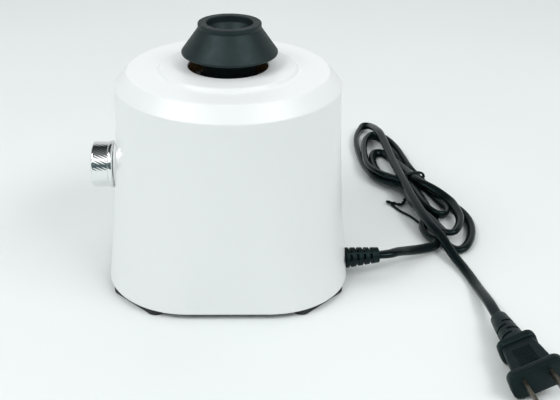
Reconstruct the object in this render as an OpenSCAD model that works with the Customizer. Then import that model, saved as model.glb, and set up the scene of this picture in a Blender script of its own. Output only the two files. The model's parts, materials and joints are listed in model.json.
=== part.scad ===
// Benchtop vortex mixer. A moulded cover stands on a cast base with four rubber feet.
// A motor on rubber mounts turns an eccentric disc, and the disc's pin carries the cup on a
// ball bearing. The speed knob is on the left, and the mains lead leaves low on the right.
// Millimetres, +Z up, front at -Y. The origin is on the motor's axis, on the table.

/* [Cover] */
// Width and depth of the cover at its lower edge
cover_w = 130; // [126:1:140]
// Corner radius of the cover at its lower edge
cover_corner_r = 44.6; // [42:0.2:50]
// Height of the cover's lower edge above the table
cover_edge_z = 3; // [2:0.5:4]
// Radius of the round shoulder where the side wall ends
shoulder_r = 59.1; // [57:0.1:61]
// Height of the shoulder above the table
shoulder_z = 104.9; // [102:0.1:120]
// How strongly the side wall flares towards its foot
flare_power = 1.7; // [1:0.1:3]
// Height of the chamfer between the side wall and the deck
chamfer_h = 7.4; // [4:0.1:9]
// Radius where the chamfer meets the deck
deck_r = 52.3; // [48:0.1:54]
// Radius of the raised ring at its top
ring_r = 35; // [30:0.5:40]
// Height of the raised ring above the deck
ring_rise = 1.5; // [1:0.1:3]
// Radius of the opening under the cup
opening_r = 20.7; // [20.2:0.1:21.2]
// Thickness of the raised ring over the splash collar
ring_lip_t = 1.2; // [1:0.1:1.4]
// Wall thickness of the cover
wall = 2.5; // [2:0.1:3]
// Radius of the four screw posts inside the cover
post_r = 4.2; // [3.8:0.1:5]
// Distance of the screw posts from the axis
post_out = 53.5; // [52:0.5:55]
// Height of the screw posts above the base plate
post_h = 14; // [12:1:20]

/* [Base] */
// Thickness of the cast base plate
base_t = 6; // [5:0.5:7]
// Gap all round between the base plate and the cover
base_gap = 0.4; // [0.3:0.1:1]
// Length of a rubber foot along the cover's edge
foot_l = 36; // [30:1:38]
// Width of a rubber foot towards the middle
foot_w = 22; // [18:1:24]
// Distance of a foot's outer side from the axis
foot_out = 71.2; // [68:0.1:71.5]
// Corner radius of a rubber foot
foot_corner_r = 5; // [3:0.5:7]
// Radius of the stem that holds a foot in the base plate
foot_stem_r = 3.2; // [2.5:0.1:4]

/* [Motor] */
// Side of the stator stack between its bolt ears
stator_w = 70; // [68:1:74]
// Height of the stator stack
stator_h = 38; // [30:1:40]
// Radius of the stator's bore
stator_bore_r = 21; // [20:0.5:22]
// Air gap between rotor and stator
air_gap = 0.4; // [0.3:0.1:0.8]
// Height of the winding heads above and below the stack
winding_h = 9; // [7:1:10]
// Radius of the circle of winding legs
winding_r = 27; // [26.5:0.5:28]
// Radius of one winding leg
leg_r = 3.2; // [2.5:0.1:3.4]
// Thickness of the bracket plates
plate_t = 3; // [2.5:0.5:4]
// Length of the bracket posts beside the windings
stand_off = 15; // [14:1:17]
// Radius of a bracket post
stand_off_r = 5.5; // [5:0.5:6]
// Half the distance between the through-bolts
bolt_pitch = 31; // [30:0.5:31.5]
// Radius of a through-bolt
bolt_r = 2; // [1.5:0.1:2.5]
// Radius of the motor shaft
shaft_r = 4; // [3:0.1:4.5]
// Running clearance between shaft and bushes
shaft_play = 0.04; // [0.02:0.01:0.08]
// Outer radius of the bushes
bush_r = 7; // [6.5:0.5:8]
// Height of the bushes
bush_h = 10; // [8:1:10]
// Height of the rubber motor mounts
mount_h = 13; // [12:1:16]
// Radius of the rubber motor mounts
mount_r = 7; // [6:0.5:8]

/* [Drive] */
// Throw of the eccentric pin
throw = 2.25; // [1.5:0.05:3]
// Direction of the pin at rest, from +X towards +Y
throw_dir = 68; // [0:1:359]
// Radius of the drive disc
disc_r = 19.4; // [19:0.1:19.6]
// Thickness of the drive disc
disc_t = 7; // [6:0.5:8]
// Depth of the disc's top below the raised ring
disc_depth = 8.8; // [8:0.1:9.5]
// Width of the counterweight arc
weight_w = 4; // [3:0.1:4]
// Height of the counterweight arc
weight_h = 3; // [2:0.5:4]
// Angle that the counterweight covers
weight_angle = 200; // [120:5:210]
// Radius of the eccentric pin
pin_r = 4; // [3.5:0.1:4.2]
// Outer radius of the cup's ball bearing
bearing_r = 11; // [10.8:0.1:11.2]
// Width of the ball bearing
bearing_w = 7; // [6:0.5:7]
// Radius of a bearing ball
ball_r = 1.9; // [1.7:0.05:2]
// Number of bearing balls
ball_count = 8; // [6:1:9]
// Inner radius of the brown splash collar
collar_r = 21.6; // [21.2:0.1:23]
// Wall thickness of the splash collar
collar_t = 3; // [2:0.5:3.5]
// Radius of the collar's flange
collar_flange_r = 31; // [30:0.5:32]

/* [Cup] */
// Height of the cup's lower rim above the raised ring
cup_gap = 6; // [5.5:0.5:10]
// Height of the rubber cup
cup_h = 16; // [13:0.5:20]
// Radius of the cup's lower rim
cup_skirt_r = 24.9; // [22:0.1:28]
// Radius of the cup's upper rim
cup_rim_r = 16.3; // [15:0.1:18]
// Height of the upright band at the cup's rim
cup_band_h = 2; // [1:0.5:4]
// Radius of the recess in the cup
recess_r = 12; // [9:0.1:13]
// Depth of the recess's straight wall
recess_h = 5; // [3:0.5:6]
// Depth of the rounded bottom below the straight wall
bowl_h = 4.5; // [3:0.5:5]
// Radius of the neck that carries the cup
neck_r = 14; // [13:0.1:14.4]
// Radius of the plate under the cup
holder_r = 18; // [16:0.5:20]

/* [Speed control] */
// Height of the knob's axis above the table
knob_z = 57.6; // [54:0.1:62]
// Radius of the knob
knob_r = 12.3; // [11:0.1:14]
// Length of the knob along its axis
knob_l = 11.5; // [11:0.1:16]
// Gap between the knob and the cover
knob_gap = 1.1; // [1:0.1:2]
// Height of the flat seat on the cover behind the knob
knob_seat_h = 0.7; // [0.5:0.1:0.8]
// Number of flutes round the knob
flute_count = 24; // [16:1:30]
// Radius of the control's shaft
pot_shaft_r = 3; // [2.5:0.1:3.2]
// Radius of the control's threaded bushing
pot_bush_r = 4.6; // [4.2:0.1:5]
// Radius of the control's body
pot_r = 8.5; // [7.5:0.5:8.5]
// Width of the control board
board_w = 40; // [38:1:40]
// Height of the control board
board_h = 42; // [42:1:46]
// Thickness of the control board
board_t = 1.6; // [1.2:0.1:2]

/* [Mains lead] */
// Width of the flat lead
cord_w = 5.6; // [5:0.1:6.5]
// Thickness of the flat lead
cord_t = 3.8; // [3:0.1:4.5]
// Sideways place of the strain relief on the right wall
relief_y = -22; // [-24:1:-18]
// Height of the strain relief above the table
relief_z = 11; // [10.5:0.5:14]
// Length of the strain relief outside the cover
relief_l = 17; // [16:0.5:24]
// Radius of the strain relief at the cover
relief_r = 5.6; // [5.2:0.1:6]
// Radius of the strain relief at its tip
relief_tip_r = 4.2; // [3.8:0.1:4.8]
// Height of the bundle of folded lead
hank_h = 10; // [8:0.5:12]
// Thickness of the tie round the bundle
tie_t = 0.8; // [0.6:0.1:1.2]
// Distance between the plug's blades
blade_pitch = 12.7; // [12:0.1:13]
// Length of the plug's blades
blade_l = 16.5; // [15:0.5:18]
// Width of the plug's head
plug_w = 26; // [24:1:32]
// Height of the plug's head
plug_h = 14; // [13:0.5:15]

/* [Hidden] */
$fn = 64;
CORNER_STEPS = 15;
SIDE_STEPS = [0, 0.06, 0.13, 0.21, 0.3, 0.41, 0.54, 0.68, 0.84, 1];
TINY = 0.01;
FIT = 0.1;
SEAT = 0.3;

deck_z = shoulder_z + chamfer_h;
ring_top_z = deck_z + ring_rise;
ring_foot_r = ring_r + ring_rise;
deck_under_z = deck_z - wall;

base_top_z = cover_edge_z + base_t;
base_half = side_half(base_top_z) - wall - base_gap;
base_corner_r = side_corner(base_top_z) - wall - base_gap;
screw_hole_r = 1.4;
screw_head_h = 1.8;
collar_flange_t = 2.5;
collar_play = 0.4;
collar_top_z = ring_top_z - ring_lip_t - collar_play;
post_top_z = base_top_z + post_h;

lower_plate_z = base_top_z + mount_h;
stator_z = lower_plate_z + plate_t + stand_off;
stator_top_z = stator_z + stator_h;
upper_plate_z = stator_top_z + stand_off - 1;
upper_top_z = upper_plate_z + plate_t;
motor_half = bolt_pitch + mount_r;
motor_corner_r = 10;
rotor_r = stator_bore_r - air_gap;
hub_r = bush_r + 2;
end_ring_h = 4;
thrust_t = 1.5;
bolt_head_r = bolt_r + 1.8;
bolt_head_h = 3;
mount_thread = 6;

disc_top_z = ring_top_z - disc_depth;
disc_z = disc_top_z - disc_t;
pin_x = throw * cos(throw_dir);
pin_y = throw * sin(throw_dir);
bearing_z = disc_top_z + 1;
bearing_top_z = bearing_z + bearing_w;
pitch_r = (pin_r + bearing_r) / 2;
land = 1.25;
clip_t = 1;
cup_z = ring_top_z + cup_gap;
holder_plate_t = 2.5;
holder_stub_r = 6;
holder_stub_h = 3;
neck_z = bearing_z + 0.3;

knob_x = side_half(knob_z) + knob_gap;
knob_bore_depth = 9;
knob_recess_r = pot_bush_r + 4.7;
knob_recess_h = 5;
lip_h = 2.3;
lip_r = knob_r + 0.6;
wall_in_x = side_half(knob_z) - wall;
pot_x = wall_in_x - 0.8;
pot_l = 7.4;
board_x = pot_x - pot_l - 4.4;
board_z = knob_z - board_h / 2;
part_depth = 6;
block_y = -17;
block_z = 1.5;
block_w = 14;

relief_x = side_x(-relief_y, relief_z);
relief_yaw = 6;
relief_pitch = 2;
relief_rows = 4;
relief_hole_r = relief_r - 0.8;
relief_flange_r = relief_r + 1.6;
relief_flange_h = 2;
// How far the wall leans out at the relief's lower rear edge and in round its inner flange.
relief_out = side_x(-relief_y - relief_r, relief_z - relief_r) - relief_x + relief_r * sin(relief_yaw) + FIT;
relief_in = relief_x + FIT - min([
    for (a = [0 : 15 : 90])
        side_x(-relief_y + relief_flange_r * cos(a), relief_z + relief_flange_r * sin(a), wall)
]);
relief_deep = relief_in + relief_flange_h;
groove_at = 1;
groove_pitch = 3.75;
groove_w = 1.3;
groove_d = 1.8;
// The grooves are bridged by ribs at this angle on either side of the boot's side axis.
rib_turn = 63;
rib_angle = 27;
rib_w = 2.2;

// The lead's route from the strain relief to the bundle, and from the bundle to the plug.
LEAD = [
    [81.8, -20.3, 11.5], [88.5, -19.3, 11.6], [94.0, -15.4, 10.6], [100.5, -10.5, 8.3],
    [107.0, -6.2, 6.4], [113.0, -2.2, 5.0], [117.0, 0.6, 4.3], [119.6, 3.0, 3.9], [120.8, 5.8, 3.7]
];
TAIL = [
    [123.2, 6.0, 7.8], [125.2, -2.0, 6.0], [127.6, -10.0, 4.0], [130.3, -18.5, 2.7],
    [132.3, -28.0, 2.1], [133.3, -38.0, 2.6], [133.6, -49.0, 4.6], [133.7, -60.0, 6.6],
    [133.8, -67.0, 7.3], [134.0, -74.0, 7.8]
];
HANK_POINTS = [
    [-20, -72], [15, -72], [20.5, -52], [18, -28], [9.5, -6], [9.5, 6], [12, 20], [14, 50],
    [12, 75], [9.5, 90], [-14.5, 90], [-21, 70], [-27, 45], [-25, 20], [-9.5, 6], [-9.5, -6],
    [-14, -22], [-18, -45]
];
hank_at = [121.5, 88, 0];
hank_turn = 10;
hank_z = tie_t + 0.1;
waist_w = 19;
TIE_END_A = [[113.4, 82.0, 1.6], [111.0, 72.0, 1.0], [108.0, 63.0, 1.0], [102.0, 56.0, 1.0]];
TIE_END_B = [[103.5, 57.5, 1.0], [106.0, 50.0, 1.0], [110.0, 41.0, 1.0], [115.0, 31.0, 1.0]];
plug_at = TAIL[len(TAIL) - 1];
plug_turn = 4;
plug_pitch = 3.5;
plug_roll = 25;
plug_boot_l = 24;
plug_boot_r = cord_w / 2 + 1.4;
plug_boot_flare = 2;
plug_slots = 4;
plug_slot_at = 9.4;
plug_slot_pitch = 3.7;
plug_slot_w = 1.3;
plug_core_r = 3.6;
plug_collar_w = 18.6;
plug_collar_h = 13.6;
plug_collar_l = 5;
plug_neck_w = 15;
plug_neck_h = 10.6;
plug_neck_l = 17.5;
plug_head_l = 5.5;
plug_corner_r = 4;
plug_l = plug_boot_l + plug_collar_l + plug_neck_l + plug_head_l;

// Side wall: half its width and its corner radius at a height.
function flare(z) = pow(max(0, 1 - (z - cover_edge_z) / (shoulder_z - cover_edge_z)), flare_power);
function side_half(z) = shoulder_r + (cover_w / 2 - shoulder_r) * flare(z);
function side_corner(z) = shoulder_r + (cover_corner_r - shoulder_r) * flare(z);

// How far the right wall stands from the axis at a place on it, or its inner side at an inset.
function side_x(y, z, inset = 0) =
    let (corner = side_corner(z), straight = side_half(z) - corner, over = max(0, y - straight))
        straight + sqrt(pow(corner - inset, 2) - pow(over, 2));

// One ring of a rounded square, anticlockwise, at height z.
function ring_points(half, r, z) = [
    for (q = [0 : 3], s = [0 : CORNER_STEPS])
        let (a = 90 * q + 90 * s / (CORNER_STEPS + 1) + 45 / (CORNER_STEPS + 1),
             cx = (half - r) * sign(cos(90 * q + 45)),
             cy = (half - r) * sign(sin(90 * q + 45)))
            [cx + r * cos(a), cy + r * sin(a), z]
];

// A closed band of rings, the last joined to the first.
module ring_body(rings) {
    n = len(rings[0]);
    m = len(rings);
    points = [for (k = [0 : m - 1], i = [0 : n - 1]) rings[k][i]];
    faces = [
        for (k = [0 : m - 1], i = [0 : n - 1])
            let (a = k * n, b = ((k + 1) % m) * n, j = (i + 1) % n)
                each [[a + i, b + i, b + j], [a + i, b + j, a + j]]
    ];
    polyhedron(points, faces, convexity = 6);
}

function unit(v) = v / norm(v);
function heading(path, i) = unit(path[min(i + 1, len(path) - 1)] - path[max(i - 1, 0)]);

// A tube of width w and thickness t swept along a path, with its flat side kept level.
module tube(path, w, t, sides = 8) {
    n = len(path);
    points = [
        for (i = [0 : n - 1], k = [0 : sides - 1])
            let (dir = heading(path, i), out = unit(cross(dir, [0, 0, 1])), up = cross(out, dir),
                 a = 360 * (k + 0.5) / sides)
                path[i] + out * cos(a) * w / 2 + up * sin(a) * t / 2
    ];
    skin = [
        for (i = [0 : n - 2], k = [0 : sides - 1])
            let (a = i * sides, b = a + sides, j = (k + 1) % sides)
                each [[a + k, b + j, b + k], [a + k, a + j, b + j]]
    ];
    ends = [
        [for (k = [sides - 1 : -1 : 0]) k],
        [for (k = [0 : sides - 1]) (n - 1) * sides + k]
    ];
    polyhedron(points, concat(skin, ends), convexity = 6);
}

module rounded_square(half, r) {
    square([2 * half, 2 * (half - r)], center = true);
    square([2 * (half - r), 2 * half], center = true);
    at_corners(half - r) circle(r);
}

module rounded_bar(l, w, r) {
    square([l, w - 2 * r], center = true);
    square([l - 2 * r, w], center = true);
    for (x = [-1, 1], y = [-1, 1]) translate([x * (l / 2 - r), y * (w / 2 - r)]) circle(r);
}

module at_corners(d) {
    for (x = [-1, 1], y = [-1, 1]) translate([x * d, y * d]) children();
}

module on_axes(d) {
    for (a = [0 : 90 : 270]) rotate([0, 0, a]) translate([d, 0]) children();
}

module on_pin() {
    translate([pin_x, pin_y, 0]) children();
}

// Child drawn along +Z from the origin is laid along -X from the axis of the knob.
module on_knob_axis() {
    translate([0, 0, knob_z]) rotate([0, -90, 0]) children();
}

// Child drawn along +Z is laid along +X from the place where the lead leaves the cover.
module at_relief() {
    translate([relief_x, relief_y, relief_z]) rotate([0, 90, 0]) children();
}

module in_hank() {
    translate(hank_at) rotate([0, 0, hank_turn]) children();
}

// Child drawn along +Z is laid along the plug, from its boot towards its blades.
module along_plug(l) {
    translate(plug_at) rotate([90 - plug_pitch, 0, plug_turn]) rotate([0, 0, plug_roll])
        translate([0, 0, l]) children();
}

// ---- cover and base ----

module cover_shell() {
    outer = [
        for (s = SIDE_STEPS)
            let (z = cover_edge_z + s * (shoulder_z - cover_edge_z))
                ring_points(side_half(z), side_corner(z), z)
    ];
    top = [
        for (p = [[deck_r, deck_z], [ring_foot_r, deck_z], [ring_r, ring_top_z],
                  [opening_r - 0.6, ring_top_z], [opening_r - 0.6, deck_under_z],
                  [deck_r - wall / 2, deck_under_z]])
            ring_points(p[0], p[0], p[1])
    ];
    inner = [
        for (k = [len(SIDE_STEPS) - 1 : -1 : 0])
            let (z = cover_edge_z + SIDE_STEPS[k] * (shoulder_z - wall / 2 - cover_edge_z))
                ring_points(side_half(z) - wall, side_corner(z) - wall, z)
    ];
    ring_body(concat(outer, top, inner));
}

module housing_cover() {
    color("whitesmoke") difference() {
        union() {
            cover_shell();
            on_axes(post_out) translate([0, 0, base_top_z]) cylinder(h = post_h, r = post_r);
            on_axes(post_out) translate([0, -1.5, base_top_z])
                cube([side_half(post_top_z) - wall / 2 - post_out, 3, post_h]);
            on_knob_axis() translate([0, 0, side_half(knob_z) - 1]) difference() {
                cylinder(h = 1 + knob_seat_h, r = knob_r - 0.2);
                translate([0, 0, -1]) cylinder(h = 3 + knob_seat_h, r = knob_recess_r);
            }
        }
        translate([0, 0, deck_under_z - 1]) cylinder(h = wall + ring_rise + 2, r = opening_r);
        translate([0, 0, deck_under_z - 1])
            cylinder(h = collar_top_z + collar_play + 1 - deck_under_z, r = collar_r + collar_t + collar_play);
        on_axes(post_out) translate([0, 0, base_top_z - 1]) cylinder(h = post_h - 2, r = screw_hole_r);
        on_knob_axis() translate([0, 0, wall_in_x - 3]) cylinder(h = wall + 6, r = pot_bush_r + FIT);
        at_relief() translate([0, 0, -wall - 2]) cylinder(h = wall + 4, r = relief_hole_r + FIT);
    }
}

module base_plate() {
    color("dimgray") difference() {
        translate([0, 0, cover_edge_z]) linear_extrude(base_t)
            rounded_square(base_half, base_corner_r);
        at_feet() translate([0, 0, cover_edge_z - 1]) cylinder(h = base_t + 2, r = foot_stem_r);
        on_axes(post_out) translate([0, 0, cover_edge_z - 1])
            cylinder(h = base_t + 2, r = screw_hole_r + FIT);
        on_axes(post_out) translate([0, 0, cover_edge_z - 1]) cylinder(h = 3, r = 2 * screw_hole_r + FIT);
        at_corners(bolt_pitch) translate([0, 0, cover_edge_z - 1]) cylinder(h = base_t + 2, r = bolt_r);
        at_corners(bolt_pitch) translate([0, 0, cover_edge_z - 1]) cylinder(h = 3, r = bolt_head_r);
        translate([relief_x - 14, relief_y - relief_r - 3, cover_edge_z - 1])
            cube([24, 2 * relief_r + 6, base_t + 2]);
    }
}

module at_feet() {
    for (a = [45 : 90 : 315]) rotate([0, 0, a]) translate([foot_out - foot_w / 2, 0, 0]) children();
}

module foot(a) {
    color("black") rotate([0, 0, a]) translate([foot_out - foot_w / 2, 0, 0]) {
        linear_extrude(cover_edge_z) rounded_bar(foot_w, foot_l, foot_corner_r);
        cylinder(h = base_top_z, r = foot_stem_r);
    }
}

module foot_front_left() { foot(225); }
module foot_front_right() { foot(315); }
module foot_back_left() { foot(135); }
module foot_back_right() { foot(45); }

// A screw drawn upwards from its head.
module screw(shank_r, l, head_r, head_h) {
    difference() {
        cylinder(h = head_h, r = head_r);
        translate([0, 0, -1]) cylinder(h = 1 + head_h / 2, r = head_r / 2);
    }
    cylinder(h = l, r = shank_r);
}

module cover_screws() {
    color("silver") on_axes(post_out) translate([0, 0, cover_edge_z])
        screw(screw_hole_r - 0.05, base_t + post_h - 4, 2 * screw_hole_r, 2);
}

module mount_screws() {
    color("silver") at_corners(bolt_pitch) translate([0, 0, cover_edge_z])
        screw(bolt_r, base_t + mount_thread / 2, bolt_head_r - FIT, 2);
}

module motor_mounts() {
    color("black") at_corners(bolt_pitch) difference() {
        translate([0, 0, base_top_z]) cylinder(h = mount_h, r = mount_r);
        translate([0, 0, base_top_z - 1]) cylinder(h = 1 + mount_thread / 2, r = bolt_r);
        translate([0, 0, lower_plate_z - mount_thread]) cylinder(h = mount_thread + 1, r = bolt_r);
    }
}

// ---- motor ----

module bracket_plate(z) {
    translate([0, 0, z]) linear_extrude(plate_t) difference() {
        rounded_square(motor_half, motor_corner_r);
        on_axes(hub_r + 11) circle(8.5);
    }
}

module lower_bracket() {
    color("lightslategray") difference() {
        union() {
            bracket_plate(lower_plate_z);
            translate([0, 0, lower_plate_z]) cylinder(h = thrust_t + bush_h, r = hub_r);
            at_corners(bolt_pitch) translate([0, 0, lower_plate_z])
                cylinder(h = plate_t + stand_off, r = stand_off_r);
        }
        translate([0, 0, lower_plate_z + thrust_t]) cylinder(h = bush_h + 1, r = bush_r);
        at_corners(bolt_pitch) translate([0, 0, lower_plate_z - 1])
            cylinder(h = plate_t + stand_off + 2, r = bolt_r);
    }
}

module upper_bracket() {
    color("lightslategray") difference() {
        union() {
            bracket_plate(upper_plate_z);
            translate([0, 0, upper_top_z - bush_h]) cylinder(h = bush_h, r = hub_r);
            at_corners(bolt_pitch) translate([0, 0, stator_top_z])
                cylinder(h = upper_top_z - stator_top_z, r = stand_off_r);
        }
        translate([0, 0, upper_top_z - bush_h - 1]) cylinder(h = bush_h + 2, r = bush_r);
        at_corners(bolt_pitch) translate([0, 0, stator_top_z - 1])
            cylinder(h = stand_off + plate_t + 2, r = bolt_r);
        on_axes(collar_screw_out()) translate([0, 0, upper_plate_z - 1])
            cylinder(h = plate_t + 2, r = screw_hole_r);
    }
}

module stator_core() {
    color("slategray") translate([0, 0, stator_z]) linear_extrude(stator_h) difference() {
        union() {
            rounded_square(stator_w / 2, motor_corner_r);
            at_corners(bolt_pitch) circle(mount_r);
        }
        circle(stator_bore_r);
        for (a = [22.5 : 45 : 359]) rotate(a) translate([winding_r, 0]) circle(leg_r + FIT);
        at_corners(bolt_pitch) circle(bolt_r);
    }
}

module stator_windings() {
    color("chocolate") {
        for (z = [stator_z - winding_h - SEAT, stator_top_z + SEAT]) translate([0, 0, z])
            rotate_extrude() translate([winding_r + 0.3, winding_h / 2])
                rounded_bar(2 * leg_r + 2, winding_h, 2);
        for (a = [22.5 : 45 : 359]) rotate(a)
            translate([winding_r, 0, stator_z - winding_h / 2])
                cylinder(h = stator_h + winding_h, r = leg_r);
    }
}

module motor_bolts() {
    color("silver") at_corners(bolt_pitch) {
        translate([0, 0, lower_plate_z - mount_thread])
            cylinder(h = upper_top_z - lower_plate_z + mount_thread, r = bolt_r);
        translate([0, 0, upper_top_z]) cylinder(h = bolt_head_h, r = bolt_head_r, $fn = 6);
    }
}

module bush(z) {
    color("goldenrod") translate([0, 0, z]) difference() {
        cylinder(h = bush_h, r = bush_r);
        translate([0, 0, -1]) cylinder(h = bush_h + 2, r = shaft_r + shaft_play);
    }
}

module lower_bush() { bush(lower_plate_z + thrust_t); }
module upper_bush() { bush(upper_top_z - bush_h); }

module rotor_core() {
    color("gray") translate([0, 0, stator_z]) difference() {
        cylinder(h = stator_h, r = rotor_r);
        translate([0, 0, -1]) cylinder(h = stator_h + 2, r = shaft_r);
    }
}

module rotor_end_rings() {
    color("lightgray") for (z = [stator_z - end_ring_h, stator_top_z]) translate([0, 0, z]) difference() {
        cylinder(h = end_ring_h, r = rotor_r - 1.5);
        translate([0, 0, -1]) cylinder(h = end_ring_h + 2, r = hub_r + 3);
    }
}

module motor_shaft() {
    color("silver") translate([0, 0, lower_plate_z + thrust_t + FIT])
        cylinder(h = disc_top_z - lower_plate_z - thrust_t - FIT, r = shaft_r);
}

function collar_screw_out() = (collar_r + collar_t + collar_flange_r) / 2;

module splash_collar() {
    color("saddlebrown") difference() {
        union() {
            translate([0, 0, upper_top_z])
                cylinder(h = collar_top_z - upper_top_z, r = collar_r + collar_t);
            translate([0, 0, upper_top_z]) cylinder(h = collar_flange_t, r = collar_flange_r);
        }
        translate([0, 0, upper_top_z - 1]) cylinder(h = collar_top_z - upper_top_z + 2, r = collar_r);
        on_axes(collar_screw_out()) translate([0, 0, upper_top_z - 1]) cylinder(h = 5, r = screw_hole_r);
    }
}

module collar_screws() {
    color("silver") on_axes(collar_screw_out()) translate([0, 0, upper_top_z - plate_t]) {
        cylinder(h = plate_t + collar_flange_t, r = screw_hole_r);
        translate([0, 0, plate_t + collar_flange_t]) cylinder(h = screw_head_h, r = 2 * screw_hole_r);
    }
}

// ---- eccentric drive and cup ----

module drive_disc() {
    color("black") {
        difference() {
            translate([0, 0, disc_z]) cylinder(h = disc_t, r = disc_r);
            translate([0, 0, disc_z - 1]) cylinder(h = disc_t + 1 + TINY, r = shaft_r);
        }
        on_pin() translate([0, 0, disc_top_z]) cylinder(h = bearing_z - disc_top_z, r = pin_r + 1.4);
        on_pin() translate([0, 0, disc_top_z])
            cylinder(h = bearing_top_z - disc_top_z + clip_t + 0.8, r = pin_r);
    }
}

module counterweight() {
    color("silver") rotate([0, 0, throw_dir + 180 - weight_angle / 2]) translate([0, 0, disc_top_z])
        rotate_extrude(angle = weight_angle) translate([disc_r - 0.2 - weight_w, 0])
            square([weight_w, weight_h]);
}

module race(inner, outer) {
    on_pin() translate([0, 0, bearing_z]) rotate_extrude() difference() {
        translate([inner, 0]) square([outer - inner, bearing_w]);
        translate([pitch_r, bearing_w / 2]) circle(ball_r + 0.05);
    }
}

module bearing_inner_ring() { color("silver") race(pin_r, pitch_r - land); }
module bearing_outer_ring() { color("silver") race(pitch_r + land, bearing_r); }

module bearing_balls() {
    color("silver") on_pin() for (i = [0 : ball_count - 1]) rotate([0, 0, 360 * i / ball_count])
        translate([pitch_r, 0, bearing_z + bearing_w / 2]) sphere(ball_r);
}

module pin_clip() {
    color("silver") on_pin() translate([0, 0, bearing_top_z]) difference() {
        cylinder(h = clip_t, r = pitch_r - land - 0.4);
        translate([0, 0, -1]) cylinder(h = clip_t + 2, r = pin_r);
    }
}

module cup_holder() {
    color("black") on_pin() difference() {
        union() {
            translate([0, 0, neck_z]) cylinder(h = cup_z - neck_z, r = neck_r);
            translate([0, 0, cup_z - holder_plate_t]) cylinder(h = holder_plate_t, r = holder_r);
            translate([0, 0, cup_z - TINY]) cylinder(h = holder_stub_h + TINY, r = holder_stub_r);
        }
        translate([0, 0, neck_z - 1]) cylinder(h = bearing_top_z - neck_z + 1, r = bearing_r);
        translate([0, 0, bearing_top_z - TINY]) cylinder(h = 3.2, r = bearing_r - 1.5);
    }
}

module rubber_cup() {
    floor_z = cup_h - recess_h - bowl_h;
    color("darkslategray") on_pin() translate([0, 0, cup_z]) rotate_extrude() polygon(concat(
        [[0, holder_stub_h], [holder_stub_r, holder_stub_h], [holder_stub_r, 0], [cup_skirt_r - 0.8, 0],
         [cup_skirt_r, 0.7], [cup_rim_r, cup_h - cup_band_h], [cup_rim_r, cup_h - 0.6],
         [cup_rim_r - 0.6, cup_h], [recess_r + 0.4, cup_h], [recess_r, cup_h - 0.4],
         [recess_r, cup_h - recess_h]],
        [for (a = [15 : 15 : 75]) [recess_r * cos(a), cup_h - recess_h - bowl_h * sin(a)]],
        [[0, floor_z]]
    ));
}

// ---- speed control ----

module speed_knob() {
    color("silver") on_knob_axis() translate([0, 0, knob_x]) difference() {
        union() {
            cylinder(h = knob_l - 1, r = knob_r);
            translate([0, 0, knob_l - 1]) cylinder(h = 1, r1 = knob_r, r2 = knob_r - 1);
            cylinder(h = lip_h, r = lip_r);
        }
        translate([0, 0, -1]) cylinder(h = knob_recess_h + 1, r = knob_recess_r);
        cylinder(h = knob_bore_depth, r = pot_shaft_r);
        for (i = [0 : flute_count - 1]) rotate([0, 0, 360 * i / flute_count])
            translate([knob_r + 0.4, 0, lip_h + 0.6]) cylinder(h = knob_l, r = 0.8, $fn = 16);
    }
}

module pot_shaft() {
    color("gainsboro") on_knob_axis() translate([0, 0, pot_x - 5])
        cylinder(h = knob_x + knob_bore_depth - pot_x + 5, r = pot_shaft_r);
}

module pot_body() {
    color("darkslategray") difference() {
        union() {
            on_knob_axis() translate([0, 0, pot_x - pot_l]) cylinder(h = pot_l, r = pot_r);
            translate([-pot_x + pot_l - 1, -5, knob_z - 6]) cube([pot_x - pot_l - board_x + 1, 10, 8]);
        }
        on_knob_axis() translate([0, 0, pot_x - 5 - FIT]) cylinder(h = 8, r = pot_shaft_r + shaft_play);
    }
}

module pot_bushing() {
    color("silver") on_knob_axis() translate([0, 0, pot_x]) difference() {
        cylinder(h = knob_x + knob_recess_h - 1.4 - pot_x, r = pot_bush_r);
        translate([0, 0, -1]) cylinder(h = knob_x + 4, r = pot_shaft_r + shaft_play);
    }
}

module pot_nut() {
    color("silver") on_knob_axis() translate([0, 0, side_half(knob_z) + 0.4]) difference() {
        cylinder(h = 2.2, r = pot_bush_r + 2.6, $fn = 6);
        translate([0, 0, -1]) cylinder(h = 5, r = pot_bush_r);
    }
}

module control_board() {
    color("darkgreen") translate([-board_x, -board_w / 2, board_z]) cube([board_t, board_w, board_h]);
}

// A box soldered to the board's outer face, with y and z counted from the board's lower edge.
module on_board(y, z, size) {
    translate([-board_x - size[0], y, board_z + z]) cube(size);
}

module capacitor() {
    color("goldenrod") on_board(-18, board_h - 12.4, [part_depth, 13, 11.4]);
}

module power_triac() {
    color("black") on_board(6, board_h - 12, [part_depth, 4.5, 10.5]);
}

module heat_sink() {
    color("silver") {
        on_board(10.5, board_h - 12.4, [part_depth, 1.6, 11.4]);
        for (z = [0, 4.6, 9.2]) on_board(12.1 - TINY, board_h - 12.4 + z, [part_depth, 5, 1.2]);
    }
}

module terminal_block() {
    color("seagreen") on_board(block_y, block_z, [part_depth, block_w, 8]);
}

module suppression_choke() {
    color("chocolate") translate([-board_x - 2.6, 10, board_z + 8]) rotate([0, -90, 0])
        rotate_extrude() translate([4.4, 0]) circle(2.5, $fn = 32);
}

// ---- mains lead ----

// Radius that is left under a groove of the relief's boot, x along it.
function relief_floor(x) = relief_tip_r + (relief_r - relief_tip_r) * (1 - x / relief_l) - groove_d;

module relief_boot() {
    difference() {
        cylinder(h = relief_l, r1 = relief_r, r2 = relief_tip_r);
        for (i = [0 : relief_rows - 1])
            let (at = groove_at + i * groove_pitch)
                translate([0, 0, at - groove_w / 2]) difference() {
                    cylinder(h = groove_w, r = relief_r + 1);
                    translate([0, 0, -1]) cylinder(h = groove_w + 2, r = relief_floor(at));
                    for (a = [rib_turn - rib_angle, rib_turn + rib_angle])
                        rotate([0, 0, a]) translate([-10, -rib_w / 2, -1]) cube([20, rib_w, groove_w + 2]);
                }
    }
}

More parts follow.
